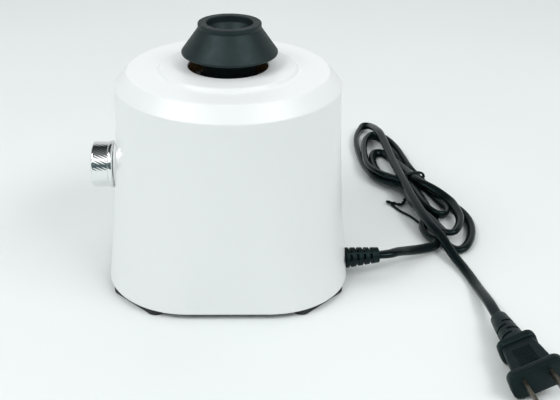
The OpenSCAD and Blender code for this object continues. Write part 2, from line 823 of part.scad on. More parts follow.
module strain_relief() {
    color("black") {
        at_relief() translate([0, 0, -relief_deep]) cylinder(h = relief_flange_h, r = relief_flange_r);
        at_relief() translate([0, 0, -relief_deep])
            cylinder(h = relief_deep + relief_out + 0.4, r = relief_hole_r);
        translate([relief_x + relief_out, relief_y, relief_z])
            rotate([0, -relief_pitch, relief_yaw]) rotate([0, 90, 0]) relief_boot();
    }
}

// The lead's inner end, from the strain relief round the motor to the terminal block.
module inner_lead() {
    side = motor_half;
    start_x = relief_x - relief_deep;
    run_z = base_top_z + 1.6;
    end_x = -board_x - part_depth / 2;
    end_y = block_y + block_w / 2;
    color("black") tube([
        [start_x, relief_y, relief_z], [start_x - 5, relief_y - 2, relief_z],
        [side + 12, 5 - side, run_z], [side + 4, -side - 4, run_z], [side - 8, -side - 7, run_z],
        [side - 23, -side - 7.5, run_z], [23 - side, -side - 7.5, run_z],
        [8 - side, -side - 7, run_z + 1], [-side - 3, -side - 2, run_z + 4],
        [end_x, 7 - side, run_z + 11], [end_x, end_y - 12, board_z - 8],
        [end_x, end_y - 4, board_z - 1.5], [end_x, end_y, board_z + block_z]
    ], 4, 2.4);
}

module motor_wires() {
    board_side = -board_x + board_t;
    winding_side = -winding_r - leg_r - 1.2;
    color("firebrick") for (y = [-5, 5]) tube([
        [board_side, y, board_z + 4], [board_side + 2.5, y, board_z + 4],
        [winding_side - 5, y, stator_z - winding_h / 2 + 0.5], [winding_side, y, stator_z - winding_h / 2]
    ], 1.8, 1.8);
}

module cord_lead() { color("black") tube(LEAD, cord_w, cord_t, 10); }
module cord_tail() { color("black") tube(TAIL, cord_w, cord_t, 10); }

module cord_hank() {
    color("black") in_hank() translate([0, 0, hank_z]) linear_extrude(hank_h) {
        polygon(HANK_POINTS);
        translate([-2.5, -72]) circle(17.5);
        translate([-2.5, 90]) circle(12);
    }
}

module cord_tie() {
    color("black") {
        in_hank() translate([0, 0, (hank_h + 2 * hank_z) / 2]) difference() {
            cube([waist_w + 2 * tie_t, 2.6, hank_h + 2 * hank_z], center = true);
            cube([waist_w, 4, hank_h], center = true);
        }
        tube(TIE_END_A, 2, 1.8);
        tube(TIE_END_B, 2, 1.8);
    }
}

// The boot that the lead enters, with slots from its middle round one side and the other by turns.
module plug_boot() {
    difference() {
        cylinder(h = plug_boot_l, r1 = plug_boot_r, r2 = plug_boot_r + plug_boot_flare);
        for (i = [0 : plug_slots - 1]) translate([0, 0, plug_slot_at + plug_slot_pitch * i]) difference() {
            cylinder(h = plug_slot_w, r = plug_boot_r + plug_boot_flare + 1);
            translate([0, 0, -1]) cylinder(h = plug_slot_w + 2, r = plug_core_r);
            translate([i % 2 == 0 ? -20 : -0.3, -10, -1]) cube([20.3, 20, plug_slot_w + 2]);
        }
    }
}

module plug_body() {
    color("black") {
        along_plug(0) plug_boot();
        along_plug(plug_boot_l) linear_extrude(plug_collar_l)
            rounded_bar(plug_collar_w, plug_collar_h, plug_corner_r);
        along_plug(plug_boot_l + plug_collar_l) rotate([90, 0, 0]) translate([0, 0, -plug_neck_h / 2])
            linear_extrude(plug_neck_h) polygon([
                [-plug_neck_w / 2, 0], [plug_neck_w / 2, 0],
                [plug_neck_w / 2 + 2, plug_neck_l], [-plug_neck_w / 2 - 2, plug_neck_l]
            ]);
        along_plug(plug_l - plug_head_l) linear_extrude(plug_head_l)
            rounded_bar(plug_w, plug_h, plug_corner_r);
    }
}

module plug_blades() {
    color("silver") for (s = [-1, 1]) along_plug(plug_l) translate([s * blade_pitch / 2, 0, 0])
        difference() {
        translate([-0.75, -3.2, 0]) cube([1.5, 6.4, blade_l]);
        translate([-2, 0, blade_l - 4]) rotate([0, 90, 0]) cylinder(h = 4, r = 1.6);
    }
}

housing_cover();
base_plate();
foot_front_left();
foot_front_right();
foot_back_left();
foot_back_right();
cover_screws();
motor_mounts();
mount_screws();
lower_bracket();
upper_bracket();
stator_core();
stator_windings();
motor_bolts();
lower_bush();
upper_bush();
rotor_core();
rotor_end_rings();
motor_shaft();
splash_collar();
collar_screws();
drive_disc();
counterweight();
bearing_inner_ring();
bearing_balls();
bearing_outer_ring();
pin_clip();
cup_holder();
rubber_cup();
speed_knob();
pot_shaft();
pot_body();
pot_bushing();
pot_nut();
control_board();
capacitor();
power_triac();
heat_sink();
terminal_block();
suppression_choke();
strain_relief();
inner_lead();
motor_wires();
cord_lead();
cord_hank();
cord_tail();
cord_tie();
plug_body();
plug_blades();
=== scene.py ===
"""Looks of a benchtop vortex mixer, modelled around its CAD frame. Metres, +Z up, front towards -Y."""

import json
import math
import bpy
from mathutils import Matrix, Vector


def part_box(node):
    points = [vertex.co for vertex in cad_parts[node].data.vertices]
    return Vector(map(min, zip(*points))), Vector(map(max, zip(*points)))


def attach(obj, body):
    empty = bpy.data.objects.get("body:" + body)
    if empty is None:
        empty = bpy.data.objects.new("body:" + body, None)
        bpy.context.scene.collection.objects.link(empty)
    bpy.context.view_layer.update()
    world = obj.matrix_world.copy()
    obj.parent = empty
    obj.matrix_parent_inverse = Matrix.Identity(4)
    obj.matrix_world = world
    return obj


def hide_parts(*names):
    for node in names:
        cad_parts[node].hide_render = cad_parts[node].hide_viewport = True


bl_info = {
    "name": "Vortex Mixer",
    "version": (1, 0, 0),
    "blender": (4, 5, 0),
    "location": "View3D > Sidebar > Vortex Mixer",
    "description": "Models a benchtop vortex mixer, its tied mains lead and a studio around it",
    "category": "Add Mesh",
}

import bmesh
import bpy
from mathutils import Matrix, Vector

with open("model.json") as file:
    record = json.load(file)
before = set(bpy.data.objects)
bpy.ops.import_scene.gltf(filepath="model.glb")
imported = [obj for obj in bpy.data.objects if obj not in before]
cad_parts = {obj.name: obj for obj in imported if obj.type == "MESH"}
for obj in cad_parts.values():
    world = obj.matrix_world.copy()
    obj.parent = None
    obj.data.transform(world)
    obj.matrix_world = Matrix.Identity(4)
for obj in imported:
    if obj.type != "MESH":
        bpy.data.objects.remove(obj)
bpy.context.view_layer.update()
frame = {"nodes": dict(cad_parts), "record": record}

MM = 0.001
FULL_TURN = 2 * math.pi
COVER_SEGMENTS = 256
CUP_SEGMENTS = 128

# The lead from the strain relief to the bundle: x, y, z in mm, then the flat section's roll in degrees.
LEAD_ROUTE = [
    (81.8, -20.3, 11.5, -8), (88.5, -19.3, 11.6, 6), (94, -15.4, 10.6, 16), (100.5, -10.5, 8.3, 26),
    (107, -6.2, 6.4, 38), (113, -2.2, 5, 52), (117, 0.6, 4.3, 64), (119.6, 3, 3.9, 70),
    (120.8, 5.8, 3.7, 72), (120.3, 8.4, 3.6, 70), (118.9, 10.8, 3.5, 66), (117.2, 15, 3.3, 60),
    (116.3, 20.6, 3.2, 50), (116.9, 26, 3.1, 38), (118.8, 31, 2.8, 25), (120.4, 37.5, 2.4, 10),
    (120.4, 46, 2.1, 0), (119.2, 56, 2.1, 0), (117.6, 66, 2.2, 0), (115.8, 76, 3, 0),
]
# The bundle's folds in the order of the lead: far loops and near loops by turns.
FOLD_ROUTE = [
    (112.6, 83.4, 4.2, 0), (106.4, 88, 5, 10), (101.4, 94.4, 4.8, 20), (97.4, 102.4, 4, 40),
    (95.6, 111.6, 3, 60), (96, 126, 2.8, 75), (97.8, 143, 2.8, 80), (100.8, 156, 2.8, 80),
    (106.4, 163, 2.8, 80), (112, 160.5, 2.8, 80), (116.6, 152, 2.8, 80), (119.8, 139.5, 2.8, 80),
    (121.8, 122.5, 2.8, 75), (123.6, 107.5, 2.8, 60), (125, 96, 2.4, 30), (126.2, 86, 2.1, 0),
    (129.6, 77, 2.4, 10), (132.6, 65, 3, 30), (134.6, 54, 3.6, 50), (134.8, 45, 4.2, 65),
    (132.2, 38.4, 4.8, 75), (128, 37.4, 5.4, 75), (124.2, 43, 6.2, 60), (121.6, 53, 6.6, 40),
    (120.4, 66, 6.4, 20), (118.4, 75, 6.4, 0),
    (111.4, 80.6, 8, 0), (105.4, 84, 8.6, 10), (100.4, 90, 8.4, 20), (96.8, 97.6, 7.8, 30),
    (94.9, 107, 7, 45), (95.2, 121, 6.6, 60), (97, 137, 6.6, 75), (100.4, 150, 6.6, 80),
    (106, 157, 6.4, 80), (111.6, 153.6, 6.4, 80), (116.2, 144, 6.3, 80), (119.2, 131.5, 6.2, 80),
    (121, 115, 6.2, 75), (122.2, 100.6, 6.2, 50), (124.4, 91.6, 5.9, 20), (126.8, 84, 5.6, 0),
    (129.4, 75, 4.6, 15), (133.8, 65.6, 3.2, 30), (138.8, 57.4, 2.7, 45), (143.2, 48.6, 2.7, 45),
    (145.8, 38.6, 2.7, 40), (146, 28.2, 2.6, 38), (143.6, 17, 2.6, 35), (139.5, 7.3, 2.5, 25),
    (135.1, 1.6, 2.3, 10), (131.3, 0.8, 2.2, 0), (128.4, 3.6, 2.1, 0), (126.4, 10, 2.1, 0),
    (125.6, 20, 2.1, 0), (125.8, 32, 2.1, 0), (125.4, 46, 2.1, 0), (124.2, 60, 2.1, 0),
    (122.4, 73, 2.1, 0), (120.6, 84, 2.1, 0), (118, 91.4, 2.1, 0), (112.8, 94.4, 2.1, 0),
    (107.2, 95.6, 2.1, 5), (103.4, 99.6, 2.1, 10), (101.6, 107, 2.1, 20), (100.8, 116, 2.2, 30),
    (101.6, 127, 2.4, 40), (104.8, 133.8, 2.6, 45), (108.8, 132.4, 3, 45), (112.6, 123.4, 3.9, 40),
    (116.4, 109, 5.3, 30), (119.1, 94.6, 7.4, 15), (121.4, 82, 9, 5), (124.8, 74, 9.2, 5),
    (130.6, 67, 8.2, 25), (135.8, 59.6, 7, 40), (139.2, 51.4, 6.5, 46), (140.2, 41.6, 6.4, 50),
    (139.9, 31.2, 6.3, 50), (136.5, 20.8, 6.2, 42), (131.6, 14, 6.1, 25), (127.2, 14.8, 6, 10),
    (124.6, 22, 5.9, 0), (122.2, 31, 5.9, 0), (119.4, 40, 5.8, 0),
    (116.4, 50, 5.7, 0), (115.2, 60, 5.7, 0), (114.2, 69, 5.7, 0), (111.4, 76, 5.6, 0),
    (106.8, 80.6, 5.3, 10), (101.6, 86, 4.8, 25), (97.2, 93.2, 3.9, 40), (95.2, 103.4, 3.1, 60),
    (93.4, 114.4, 2.8, 70), (92.6, 129.4, 2.8, 75), (92.8, 146, 2.8, 75), (95, 161.7, 2.8, 75),
    (99, 174, 2.8, 75), (102.8, 181.4, 3.2, 60), (106.4, 178.6, 4.4, 30), (108.8, 168.6, 7, 15),
    (110.2, 156, 9.2, 10), (111, 140, 9.5, 10), (111.4, 122, 9.5, 10), (111.8, 104, 9.6, 5),
    (112.6, 88, 9.9, 0), (113.6, 72, 10.1, 0), (114.4, 56, 10.1, 5), (115.6, 41, 10.1, 10),
    (117.6, 26, 9.9, 10), (120.2, 14, 9.2, 10),
]
# The lead from the bundle to the plug.
TAIL_ROUTE = [
    (123.2, 6, 7.8, 10), (125.2, -2, 6, 8), (127.6, -10, 4, 5), (130.3, -18.5, 2.7, 0),
    (132.3, -28, 2.1, 0), (133.3, -38, 2.6, 0), (133.6, -49, 4.6, 4), (133.7, -60, 6.6, 12),
    (133.8, -67, 7.3, 19), (134, -74, 7.8, 25),
]
SAMPLE_STEP = 1.6 * MM
LEAD_SIDES = 16


def number(name, description, default, **more):
    return bpy.props.FloatProperty(name=name, description=description, default=default, **more)


def in_mm(name, description, default):
    """A length, with its default given in mm."""
    return number(name, description, default * MM, unit="LENGTH", min=0)


def in_degrees(name, description, default):
    """An angle, with its default given in degrees."""
    return number(name, description, math.radians(default), subtype="ANGLE")


def colour_property(name, description, default):
    return bpy.props.FloatVectorProperty(
        name=name, description=description, default=default, subtype="COLOR", size=3, min=0, max=1
    )


class CoverSizes(bpy.types.PropertyGroup):
    """Sizes of the moulded cover."""

    edge_z: in_mm("Lower edge", "Height of the cover's lower edge over the table", 3.0)
    half_width: in_mm("Half width", "Half the width at the lower edge", 65.0)
    corner_radius: in_mm("Corner radius", "Radius of the upright corners at the lower edge", 44.6)
    shoulder_radius: in_mm("Shoulder radius", "Radius where the side has become round", 59.1)
    shoulder_z: in_mm("Shoulder height", "Height where the chamfer starts", 104.9)
    chamfer_height: in_mm("Chamfer height", "Height of the sloping band over the shoulder", 7.4)
    deck_radius: in_mm("Deck radius", "Radius of the flat deck", 52.3)
    ring_radius: in_mm("Ring radius", "Radius of the raised ring round the opening", 35.0)
    ring_rise: in_mm("Ring rise", "How far the ring stands over the deck", 1.5)
    opening_radius: in_mm("Opening radius", "Radius of the opening under the cup", 20.7)
    wall: in_mm("Wall", "Thickness of the moulding", 2.5)
    flare_power: number("Flare", "How fast the foot of the side flares out", 1.7, min=1, max=4)
    colour: colour_property("Cover colour", "Colour of the moulding", (0.80, 0.82, 0.825))


class CupSizes(bpy.types.PropertyGroup):
    """Sizes of the rubber cup."""

    height: in_mm("Height", "Height of the cup", 16.0)
    skirt_radius: in_mm("Skirt radius", "Radius at the foot of the cone", 24.9)
    rim_radius: in_mm("Rim radius", "Radius of the rim", 16.3)
    band_height: in_mm("Band height", "Height of the rim's upright band", 2.0)
    recess_radius: in_mm("Recess radius", "Radius of the recess for the tube", 12.0)
    recess_depth: in_mm("Recess depth", "Depth of the recess's straight wall", 3.4)
    bowl_depth: in_mm("Bowl depth", "Depth of the bowl under the wall", 5.8)
    colour: colour_property("Cup colour", "Colour of the rubber", (0.0135, 0.020, 0.0208))


class KnobSizes(bpy.types.PropertyGroup):
    """Sizes of the speed knob."""

    radius: in_mm("Radius", "Radius over the ridges", 12.3)
    lip_radius: in_mm("Lip radius", "Radius of the lip next to the cover", 12.9)
    lip_height: in_mm("Lip height", "Width of the lip", 2.3)
    flute_depth: in_mm("Flute depth", "Depth of the flutes", 0.05)
    flutes: bpy.props.IntProperty(name="Flutes", description="Number of flutes", default=56, min=8, max=60)
    twist: in_degrees("Twist", "Turn of a flute over the knob's length", -26)


class LeadSizes(bpy.types.PropertyGroup):
    """Sizes of the mains lead, its strain relief, tie and plug."""

    width: in_mm("Width", "Width of the flat lead", 5.6)
    thickness: in_mm("Thickness", "Thickness of the flat lead", 3.8)
    relief_length: in_mm("Relief length", "Length of the strain relief's boot", 17.0)
    relief_radius: in_mm("Relief radius", "Radius of the boot at the cover", 5.6)
    relief_tip_radius: in_mm("Relief tip radius", "Radius of the boot's tip", 4.2)
    tie_radius: in_mm("Tie radius", "Radius of the coated tie wire", 0.75)
    colour: colour_property("Lead colour", "Colour of the sheath", (0.0045, 0.0075, 0.0080))


class PlugSizes(bpy.types.PropertyGroup):
    """Sizes of the plug."""

    boot_length: in_mm("Boot length", "Length of the plug's slotted boot", 24.0)
    collar_length: in_mm("Collar length", "Length of the finger collar", 5.0)
    neck_length: in_mm("Neck length", "Length of the grip behind the head", 17.5)
    head_length: in_mm("Head length", "Length of the head", 5.5)
    head_width: in_mm("Head width", "Width of the head", 26.0)
    head_height: in_mm("Head height", "Height of the head", 14.0)
    blade_length: in_mm("Blade length", "How far the blades stand out", 16.5)
    blade_pitch: in_mm("Blade pitch", "Distance between the blades", 12.7)
    blade_width: in_mm("Blade width", "Width of a blade", 6.4)
    blade_thickness: in_mm("Blade thickness", "Thickness of a blade", 1.5)
    turn: in_degrees("Turn", "Turn of the plug on the table", 4)
    pitch: in_degrees("Pitch", "How far the blades point up", 3.5)
    roll: in_degrees("Roll", "Roll of the plug about its lead", 25)


class StageSettings(bpy.types.PropertyGroup):
    """The pale floor, the studio's light and the camera."""

    floor_colour: colour_property("Floor colour", "Colour of the floor", (0.775, 0.81, 0.805))
    room_strength: number("Room light", "Strength of the room's even light", 0.535, min=0)
    key_power: number("Key power", "Power of the soft light over the front left", 8.9, min=0, unit="POWER")
    side_power: number("Side power", "Power of the soft light over the front right", 6.7, min=0, unit="POWER")
    fill_power: number("Fill power", "Power of the soft light from the back", 4.0, min=0, unit="POWER")
    camera_lens: number("Lens", "Focal length in mm for a 36 mm sensor", 55.94, min=10)
    camera_pitch: number("Pitch", "How far the camera looks down", 0.4823, subtype="ANGLE")
    camera_roll: number("Roll", "Roll of the camera", 0.0022, subtype="ANGLE")
    camera_shift: number("Shift", "Sideways shift, as a share of the frame's width", 0.0939)
    camera_distance: in_mm("Distance", "Distance of the camera in front of the axis", 430)
    camera_height: in_mm("Height", "Height of the camera over the table", 260.28)


# ---- making meshes ----


def only(kind, items):
    """The items of one kind, such as the vertices, of what a bmesh operator returns."""
    return [item for item in items if isinstance(item, kind)]


def join_mesh(bm, part):
    """Copies a part's vertices and faces into bm."""
    copies = {vert: bm.verts.new(vert.co) for vert in part.verts}
    for face in part.faces:
        bm.faces.new([copies[vert] for vert in face.verts])
    part.free()


def outline_reach(angle, half, corner):
    """Distance from the axis to a rounded square's outline, at an angle round the axis."""
    eighth = abs((angle + math.pi / 4) % (math.pi / 2) - math.pi / 4)
    flat = max(half - corner, 0)
    if half * math.tan(eighth) <= flat:
        return half / math.cos(eighth)
    along = flat * (math.cos(eighth) + math.sin(eighth))
    return along + math.sqrt(max(along * along - 2 * flat * flat + corner * corner, 0))


def rounded_square(half, corner, z):
    """A loop that follows a rounded square at height z."""

    def place(angle):
        reach = outline_reach(angle, half, min(corner, half))
        return Vector((reach * math.cos(angle), reach * math.sin(angle), z))

    return place


def oval(half_x, half_y, z, power=2.0, shift=(0, 0)):
    """A loop between an ellipse, power 2, and a rectangle, a high power, at height z."""

    def place(angle):
        across = math.cos(angle)
        up = math.sin(angle)
        x = math.copysign(abs(across) ** (2 / power), across) * half_x
        y = math.copysign(abs(up) ** (2 / power), up) * half_y
        return Vector((x + shift[0], y + shift[1], z))

    return place


def rounded_bar(half_x, half_y, corner, z):
    """A loop round a rectangle with round corners at height z."""

    def place(angle):
        across = math.cos(angle)
        up = math.sin(angle)
        x = math.copysign(half_x - corner, across) + corner * across
        y = math.copysign(half_y - corner, up) + corner * up
        return Vector((x, y, z))

    return place


def fillet(corners, steps=6):
    """Rounds a profile: corners are (x, z, radius), and the result has an arc of points at each radius."""
    points = []
    for i, (x, z, radius) in enumerate(corners):
        here = Vector((x, z))
        if radius == 0 or i in (0, len(corners) - 1):
            points.append(here)
            continue
        before = (Vector(corners[i - 1][:2]) - here).normalized()
        after = (Vector(corners[i + 1][:2]) - here).normalized()
        half_angle = before.angle(after) / 2
        reach = radius / math.tan(half_angle)
        centre = here + (before + after).normalized() * (radius / math.sin(half_angle))
        start = here + before * reach - centre
        end = here + after * reach - centre
        for step in range(steps + 1):
            share = step / steps
            points.append(centre + start.slerp(end, share).normalized() * radius)
    return points


def add_support(points, gap):
    """Adds a point close to each end of a long straight stretch, so that flats shade flat."""
    result = [points[0]]
    for before, after in zip(points, points[1:]):
        step = after - before
        if step.length > 4 * gap:
            result.append(before + step.normalized() * gap)
            result.append(after - step.normalized() * gap)
        result.append(after)
    return result


def loft(bm, loops, segments, caps=True, ring=False):
    """Grows a skin from loop to loop. Each loop is a function from an angle to a point.

    With ring the last loop joins the first, and otherwise caps closes both ends.
    Returns the vertices of each loop."""
    angle_of = bm.verts.layers.float.get("angle") or bm.verts.layers.float.new("angle")
    first = bmesh.ops.create_circle(bm, cap_ends=False, radius=1, segments=segments)["verts"]
    for i, vert in enumerate(first):
        vert[angle_of] = FULL_TURN * i / segments
        vert.co = loops[0](vert[angle_of])
    members = set(first)
    edges = [edge for edge in {e for v in first for e in v.link_edges} if set(edge.verts) <= members]
    start_edges = list(edges)
    all_loops = [list(first)]
    for place in loops[1:]:
        grown = bmesh.ops.extrude_edge_only(bm, edges=edges)["geom"]
        verts = only(bmesh.types.BMVert, grown)
        members = set(verts)
        edges = [edge for edge in only(bmesh.types.BMEdge, grown) if set(edge.verts) <= members]
        for vert in verts:
            vert.co = place(vert[angle_of])
        all_loops.append(verts)
    if ring:
        bmesh.ops.bridge_loops(bm, edges=start_edges + edges)
    elif caps:
        for end in (start_edges, edges):
            bmesh.ops.edgeloop_fill(bm, edges=end)
    bmesh.ops.recalc_face_normals(bm, faces=bm.faces)
    return all_loops


def lathe(bm, points, centre=(0, 0), segments=CUP_SEGMENTS):
    """Spins a profile of (radius, z) points round an upright axis."""
    verts = [bm.verts.new((centre[0] + x, centre[1], z)) for x, z in points]
    edges = [bm.edges.new(pair) for pair in zip(verts, verts[1:])]
    bmesh.ops.spin(
        bm, geom=verts + edges, cent=(centre[0], centre[1], 0), axis=(0, 0, 1),
        angle=FULL_TURN, steps=segments, use_merge=True,
    )
    bmesh.ops.remove_doubles(bm, verts=bm.verts, dist=1e-6)
    bmesh.ops.recalc_face_normals(bm, faces=bm.faces)


def smooth_route(route, step):
    """Runs a smooth curve through route points of (x, y, z, roll), in mm and degrees.

    Returns evenly spaced centres in metres, and the roll at each in radians."""
    nodes = [Vector((x * MM, y * MM, z * MM, math.radians(roll) * MM)) for x, y, z, roll in route]
    nodes = [2 * nodes[0] - nodes[1]] + nodes + [2 * nodes[-1] - nodes[-2]]
    fine = []
    for before, start, end, after in zip(nodes, nodes[1:], nodes[2:], nodes[3:]):
        fine += [centripetal(before, start, end, after, i / 24) for i in range(24)]
    fine.append(nodes[-2])
    total = sum((b.xyz - a.xyz).length for a, b in zip(fine, fine[1:]))
    count = max(2, round(total / step))
    even = total / count
    result = [fine[0]]
    walked = 0.0
    for a, b in zip(fine, fine[1:]):
        gap = (b.xyz - a.xyz).length
        while walked + gap >= even * len(result) and len(result) < count:
            result.append(a.lerp(b, (even * len(result) - walked) / gap))
        walked += gap
    result.append(fine[-1])
    return [p.xyz for p in result], [p.w / MM for p in result]


def centripetal(p0, p1, p2, p3, share):
    """A point between p1 and p2 on the centripetal Catmull-Rom curve through four points."""
    t0 = 0.0
    t1 = t0 + math.sqrt((p1 - p0).length)
    t2 = t1 + math.sqrt((p2 - p1).length)
    t3 = t2 + math.sqrt((p3 - p2).length)
    t = t1 + (t2 - t1) * share
    a1 = p0.lerp(p1, (t - t0) / (t1 - t0))
    a2 = p1.lerp(p2, (t - t1) / (t2 - t1))
    a3 = p2.lerp(p3, (t - t2) / (t3 - t2))
    b1 = a1.lerp(a2, (t - t0) / (t2 - t0))
    b2 = a2.lerp(a3, (t - t1) / (t3 - t1))
    return b1.lerp(b2, (t - t1) / (t2 - t1))


def sweep(bm, centres, rolls, width, thickness, sides, squareness=2.4):
    """Sweeps a flat oval section along a route, its wide side level at roll 0, and closes both ends."""
    uv = bm.loops.layers.uv.get("UVMap") or bm.loops.layers.uv.new("UVMap")
    section = [oval(width / 2, thickness / 2, 0, squareness)(FULL_TURN * i / sides) for i in range(sides)]
    rings = []
    for i, centre in enumerate(centres):
        ahead = (centres[min(i + 1, len(centres) - 1)] - centres[max(i - 1, 0)]).normalized()
        side = ahead.cross(Vector((0, 0, 1))).normalized()
        up = side.cross(ahead)
        turn = Matrix.Rotation(rolls[i], 3, ahead)
        side = turn @ side
        up = turn @ up
        rings.append([bm.verts.new(centre + side * p.x + up * p.y) for p in section])
    along = 0.0
    for i in range(len(rings) - 1):
        step = (centres[i + 1] - centres[i]).length
        for k in range(sides):
            face = bm.faces.new(
                (rings[i][k], rings[i + 1][k], rings[i + 1][(k + 1) % sides], rings[i][(k + 1) % sides])
            )
            corners = ((along, k), (along + step, k), (along + step, k + 1), (along, k + 1))
            for loop, (run, place) in zip(face.loops, corners):
                loop[uv].uv = (run, place / sides)
        along += step
    bm.faces.new(rings[0])
    bm.faces.new(list(reversed(rings[-1])))
    bmesh.ops.recalc_face_normals(bm, faces=bm.faces)


def add_tube(bm, points, radius, sides=10):
    """Adds a round tube along points given in mm."""
    centres, rolls = smooth_route([tuple(p) + (0,) for p in points], 1.2 * MM)
    sweep(bm, centres, rolls, 2 * radius, 2 * radius, sides, squareness=2.0)


def sink_slot(bm, faces, axis_point, share):
    """Sinks a group of faces towards the line through axis_point along Z, so that a slot opens."""
    grown = bmesh.ops.extrude_face_region(bm, geom=faces)["geom"]
    bmesh.ops.delete(bm, geom=faces, context="FACES_ONLY")
    for vert in only(bmesh.types.BMVert, grown):
        vert.co.x = axis_point[0] + (vert.co.x - axis_point[0]) * share
        vert.co.y = axis_point[1] + (vert.co.y - axis_point[1]) * share


def centre_of(face):
    return face.calc_center_median()


def make_piece(name, bm, material, body, nodes=(), smooth=True):
    """Turns a bmesh into a piece of the scene that rides on a body and stands for CAD nodes."""
    angle_layer = bm.verts.layers.float.get("angle")
    if angle_layer is not None:
        bm.verts.layers.float.remove(angle_layer)
    mesh = bpy.data.meshes.new(name)
    bm.to_mesh(mesh)
    bm.free()
    mesh.shade_smooth() if smooth else mesh.shade_flat()
    mesh.materials.append(material)
    piece = bpy.data.objects.new(name, mesh)
    bpy.context.scene.collection.objects.link(piece)
    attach(piece, body)
    if nodes:
        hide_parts(*nodes)
    return piece


def add_bevel(piece, width, segments=2, angle=math.radians(35)):
    """Rounds a piece's sharp edges."""
    modifier = piece.modifiers.new("Rounded edges", "BEVEL")
    modifier.width = width
    modifier.segments = segments
    modifier.limit_method = "ANGLE"
    modifier.angle_limit = angle
    modifier.harden_normals = True


# ---- making finishes ----


def add_node(tree, kind, **inputs):
    """Adds a shader node. An input takes a value, or the socket that feeds it."""
    node = tree.nodes.new("ShaderNode" + kind)
    for name, value in inputs.items():
        socket = node.inputs[name.replace("_", " ")]
        if isinstance(value, bpy.types.NodeSocket):
            tree.links.new(value, socket)
        else:
            socket.default_value = value
    return node


class Finish:
    """A node material under construction, on Object coordinates."""

    def __init__(self, name, colour, roughness, metallic=0.0):
        self.material = bpy.data.materials.new(name)
        self.material.use_nodes = True
        self.material.diffuse_color = (*colour, 1)
        self.tree = self.material.node_tree
        self.shader = self.tree.nodes["Principled BSDF"]
        self.colour = colour
        self.roughness = roughness
        self.set(Base_Color=(*colour, 1), Roughness=roughness, Metallic=metallic)
        self.where = add_node(self.tree, "TexCoord").outputs["Object"]

    def noise(self, scale, detail=3.0, stretch=(1, 1, 1)):
        """A noise of features about 1 / scale metres wide."""
        place = add_node(self.tree, "Mapping", Scale=stretch, Vector=self.where).outputs["Vector"]
        return add_node(self.tree, "TexNoise", Scale=scale, Detail=detail, Vector=place).outputs["Fac"]

    def wave(self, scale, direction, distortion=0.0):
        """Bands across a direction, scale to the metre."""
        texture = add_node(self.tree, "TexWave", Scale=scale, Distortion=distortion, Vector=self.where)
        texture.bands_direction = direction
        return texture.outputs["Fac"]

    def feed(self, source, socket):
        self.tree.links.new(source, self.shader.inputs[socket])

    def tint(self, source, darker):
        """Varies the colour between itself and a darker share of itself."""
        ramp = add_node(self.tree, "ValToRGB", Fac=source)
        dark, light = ramp.color_ramp.elements
        dark.position, light.position = 0.32, 0.68
        dark.color = (*(c * darker for c in self.colour), 1)
        light.color = (*self.colour, 1)
        self.feed(ramp.outputs["Color"], "Base Color")

    def polish(self, source, spread):
        """Varies the roughness by a spread to both sides, over a pattern's 0.3 to 0.7."""
        node = add_node(
            self.tree, "MapRange", Value=source, From_Min=0.3, From_Max=0.7,
            To_Min=max(self.roughness - spread, 0.02), To_Max=self.roughness + spread,
        )
        self.feed(node.outputs["Result"], "Roughness")

    def relief(self, source, strength, depth):
        """Adds a bump of a depth in metres."""
        node = add_node(self.tree, "Bump", Strength=strength, Distance=depth, Height=source)
        self.feed(node.outputs["Normal"], "Normal")

    def set(self, **values):
        """Sets the shader's own sockets, named with underscores for spaces."""
        for name, value in values.items():
            self.shader.inputs[name.replace("_", " ")].default_value = value
        return self


def grained(name, colour, roughness, metallic=0.0, tint=None, polish=None, relief=None, **sockets):
    """A finish of noises: tint is (noise, darker), polish (noise, spread), relief (noise, strength, mm).

    Sockets are the shader's own."""
    finish = Finish(name, colour, roughness, metallic)
    if tint:
        finish.tint(finish.noise(*tint[0]), tint[1])
    if polish:
        finish.polish(finish.noise(*polish[0]), polish[1])
    if relief:
        finish.relief(finish.noise(*relief[0]), relief[1], relief[2] * MM)
    return finish.set(**sockets).material


def banded(name, colour, roughness, metallic, wave, darker, strength, mm):
    """A finish whose colour and relief follow the same bands."""
    finish = Finish(name, colour, roughness, metallic)
    bands = finish.wave(*wave)
    finish.tint(bands, darker)
    finish.relief(bands, strength, mm * MM)
    return finish.material


def moulded_white(colour):
    return grained(
        "moulded_white", colour, 0.34, 0.0, ((9, 2), 0.985), ((60, 4), 0.03), ((520, 2), 0.05, 0.1), IOR=1.5
    )


def satin_rubber(colour):
    return grained(
        "satin_rubber", colour, 0.5, 0.0, ((120, 4), 0.8), ((260, 5), 0.05), ((3200, 3), 0.22, 0.05),
        IOR=1.36, Specular_Tint=(0.7, 0.97, 1.0, 1.0),
    )


def matt_rubber():
    return grained(
        "matt_rubber", (0.014, 0.016, 0.017), 0.72, 0.0,
        ((90, 5), 0.6), ((200, 3), 0.08), ((1400, 4), 0.4, 0.08),
    )


def polished_chrome():
    return grained(
        "polished_chrome", (0.86, 0.87, 0.875), 0.09, 1.0,
        ((40, 3), 0.96), ((300, 5), 0.03), ((900, 2), 0.04, 0.03),
    )


def lead_sheath(colour):
    return grained(
        "lead_sheath", colour, 0.24, 0.0, ((60, 4), 0.85), ((150, 3), 0.03), ((260, 2), 0.04, 0.05),
        IOR=1.30, Specular_Tint=(0.6, 0.95, 1.0, 1.0),
    )


def moulded_black(name, colour, roughness=0.5, grain=2600):
    return grained(
        name, colour, roughness, 0.0, ((80, 4), 0.8), ((240, 4), 0.06), ((grain, 3), 0.35, 0.05),
        IOR=1.3, Specular_Tint=(0.55, 0.95, 1.0, 1.0),
    )


def dull_brass():
    return grained(
        "dull_brass", (0.24, 0.22, 0.18), 0.36, 1.0,
        ((160, 5), 0.7), ((400, 4, (1, 0.1, 1)), 0.12), ((1500, 2, (1, 0.05, 1)), 0.15, 0.03),
    )


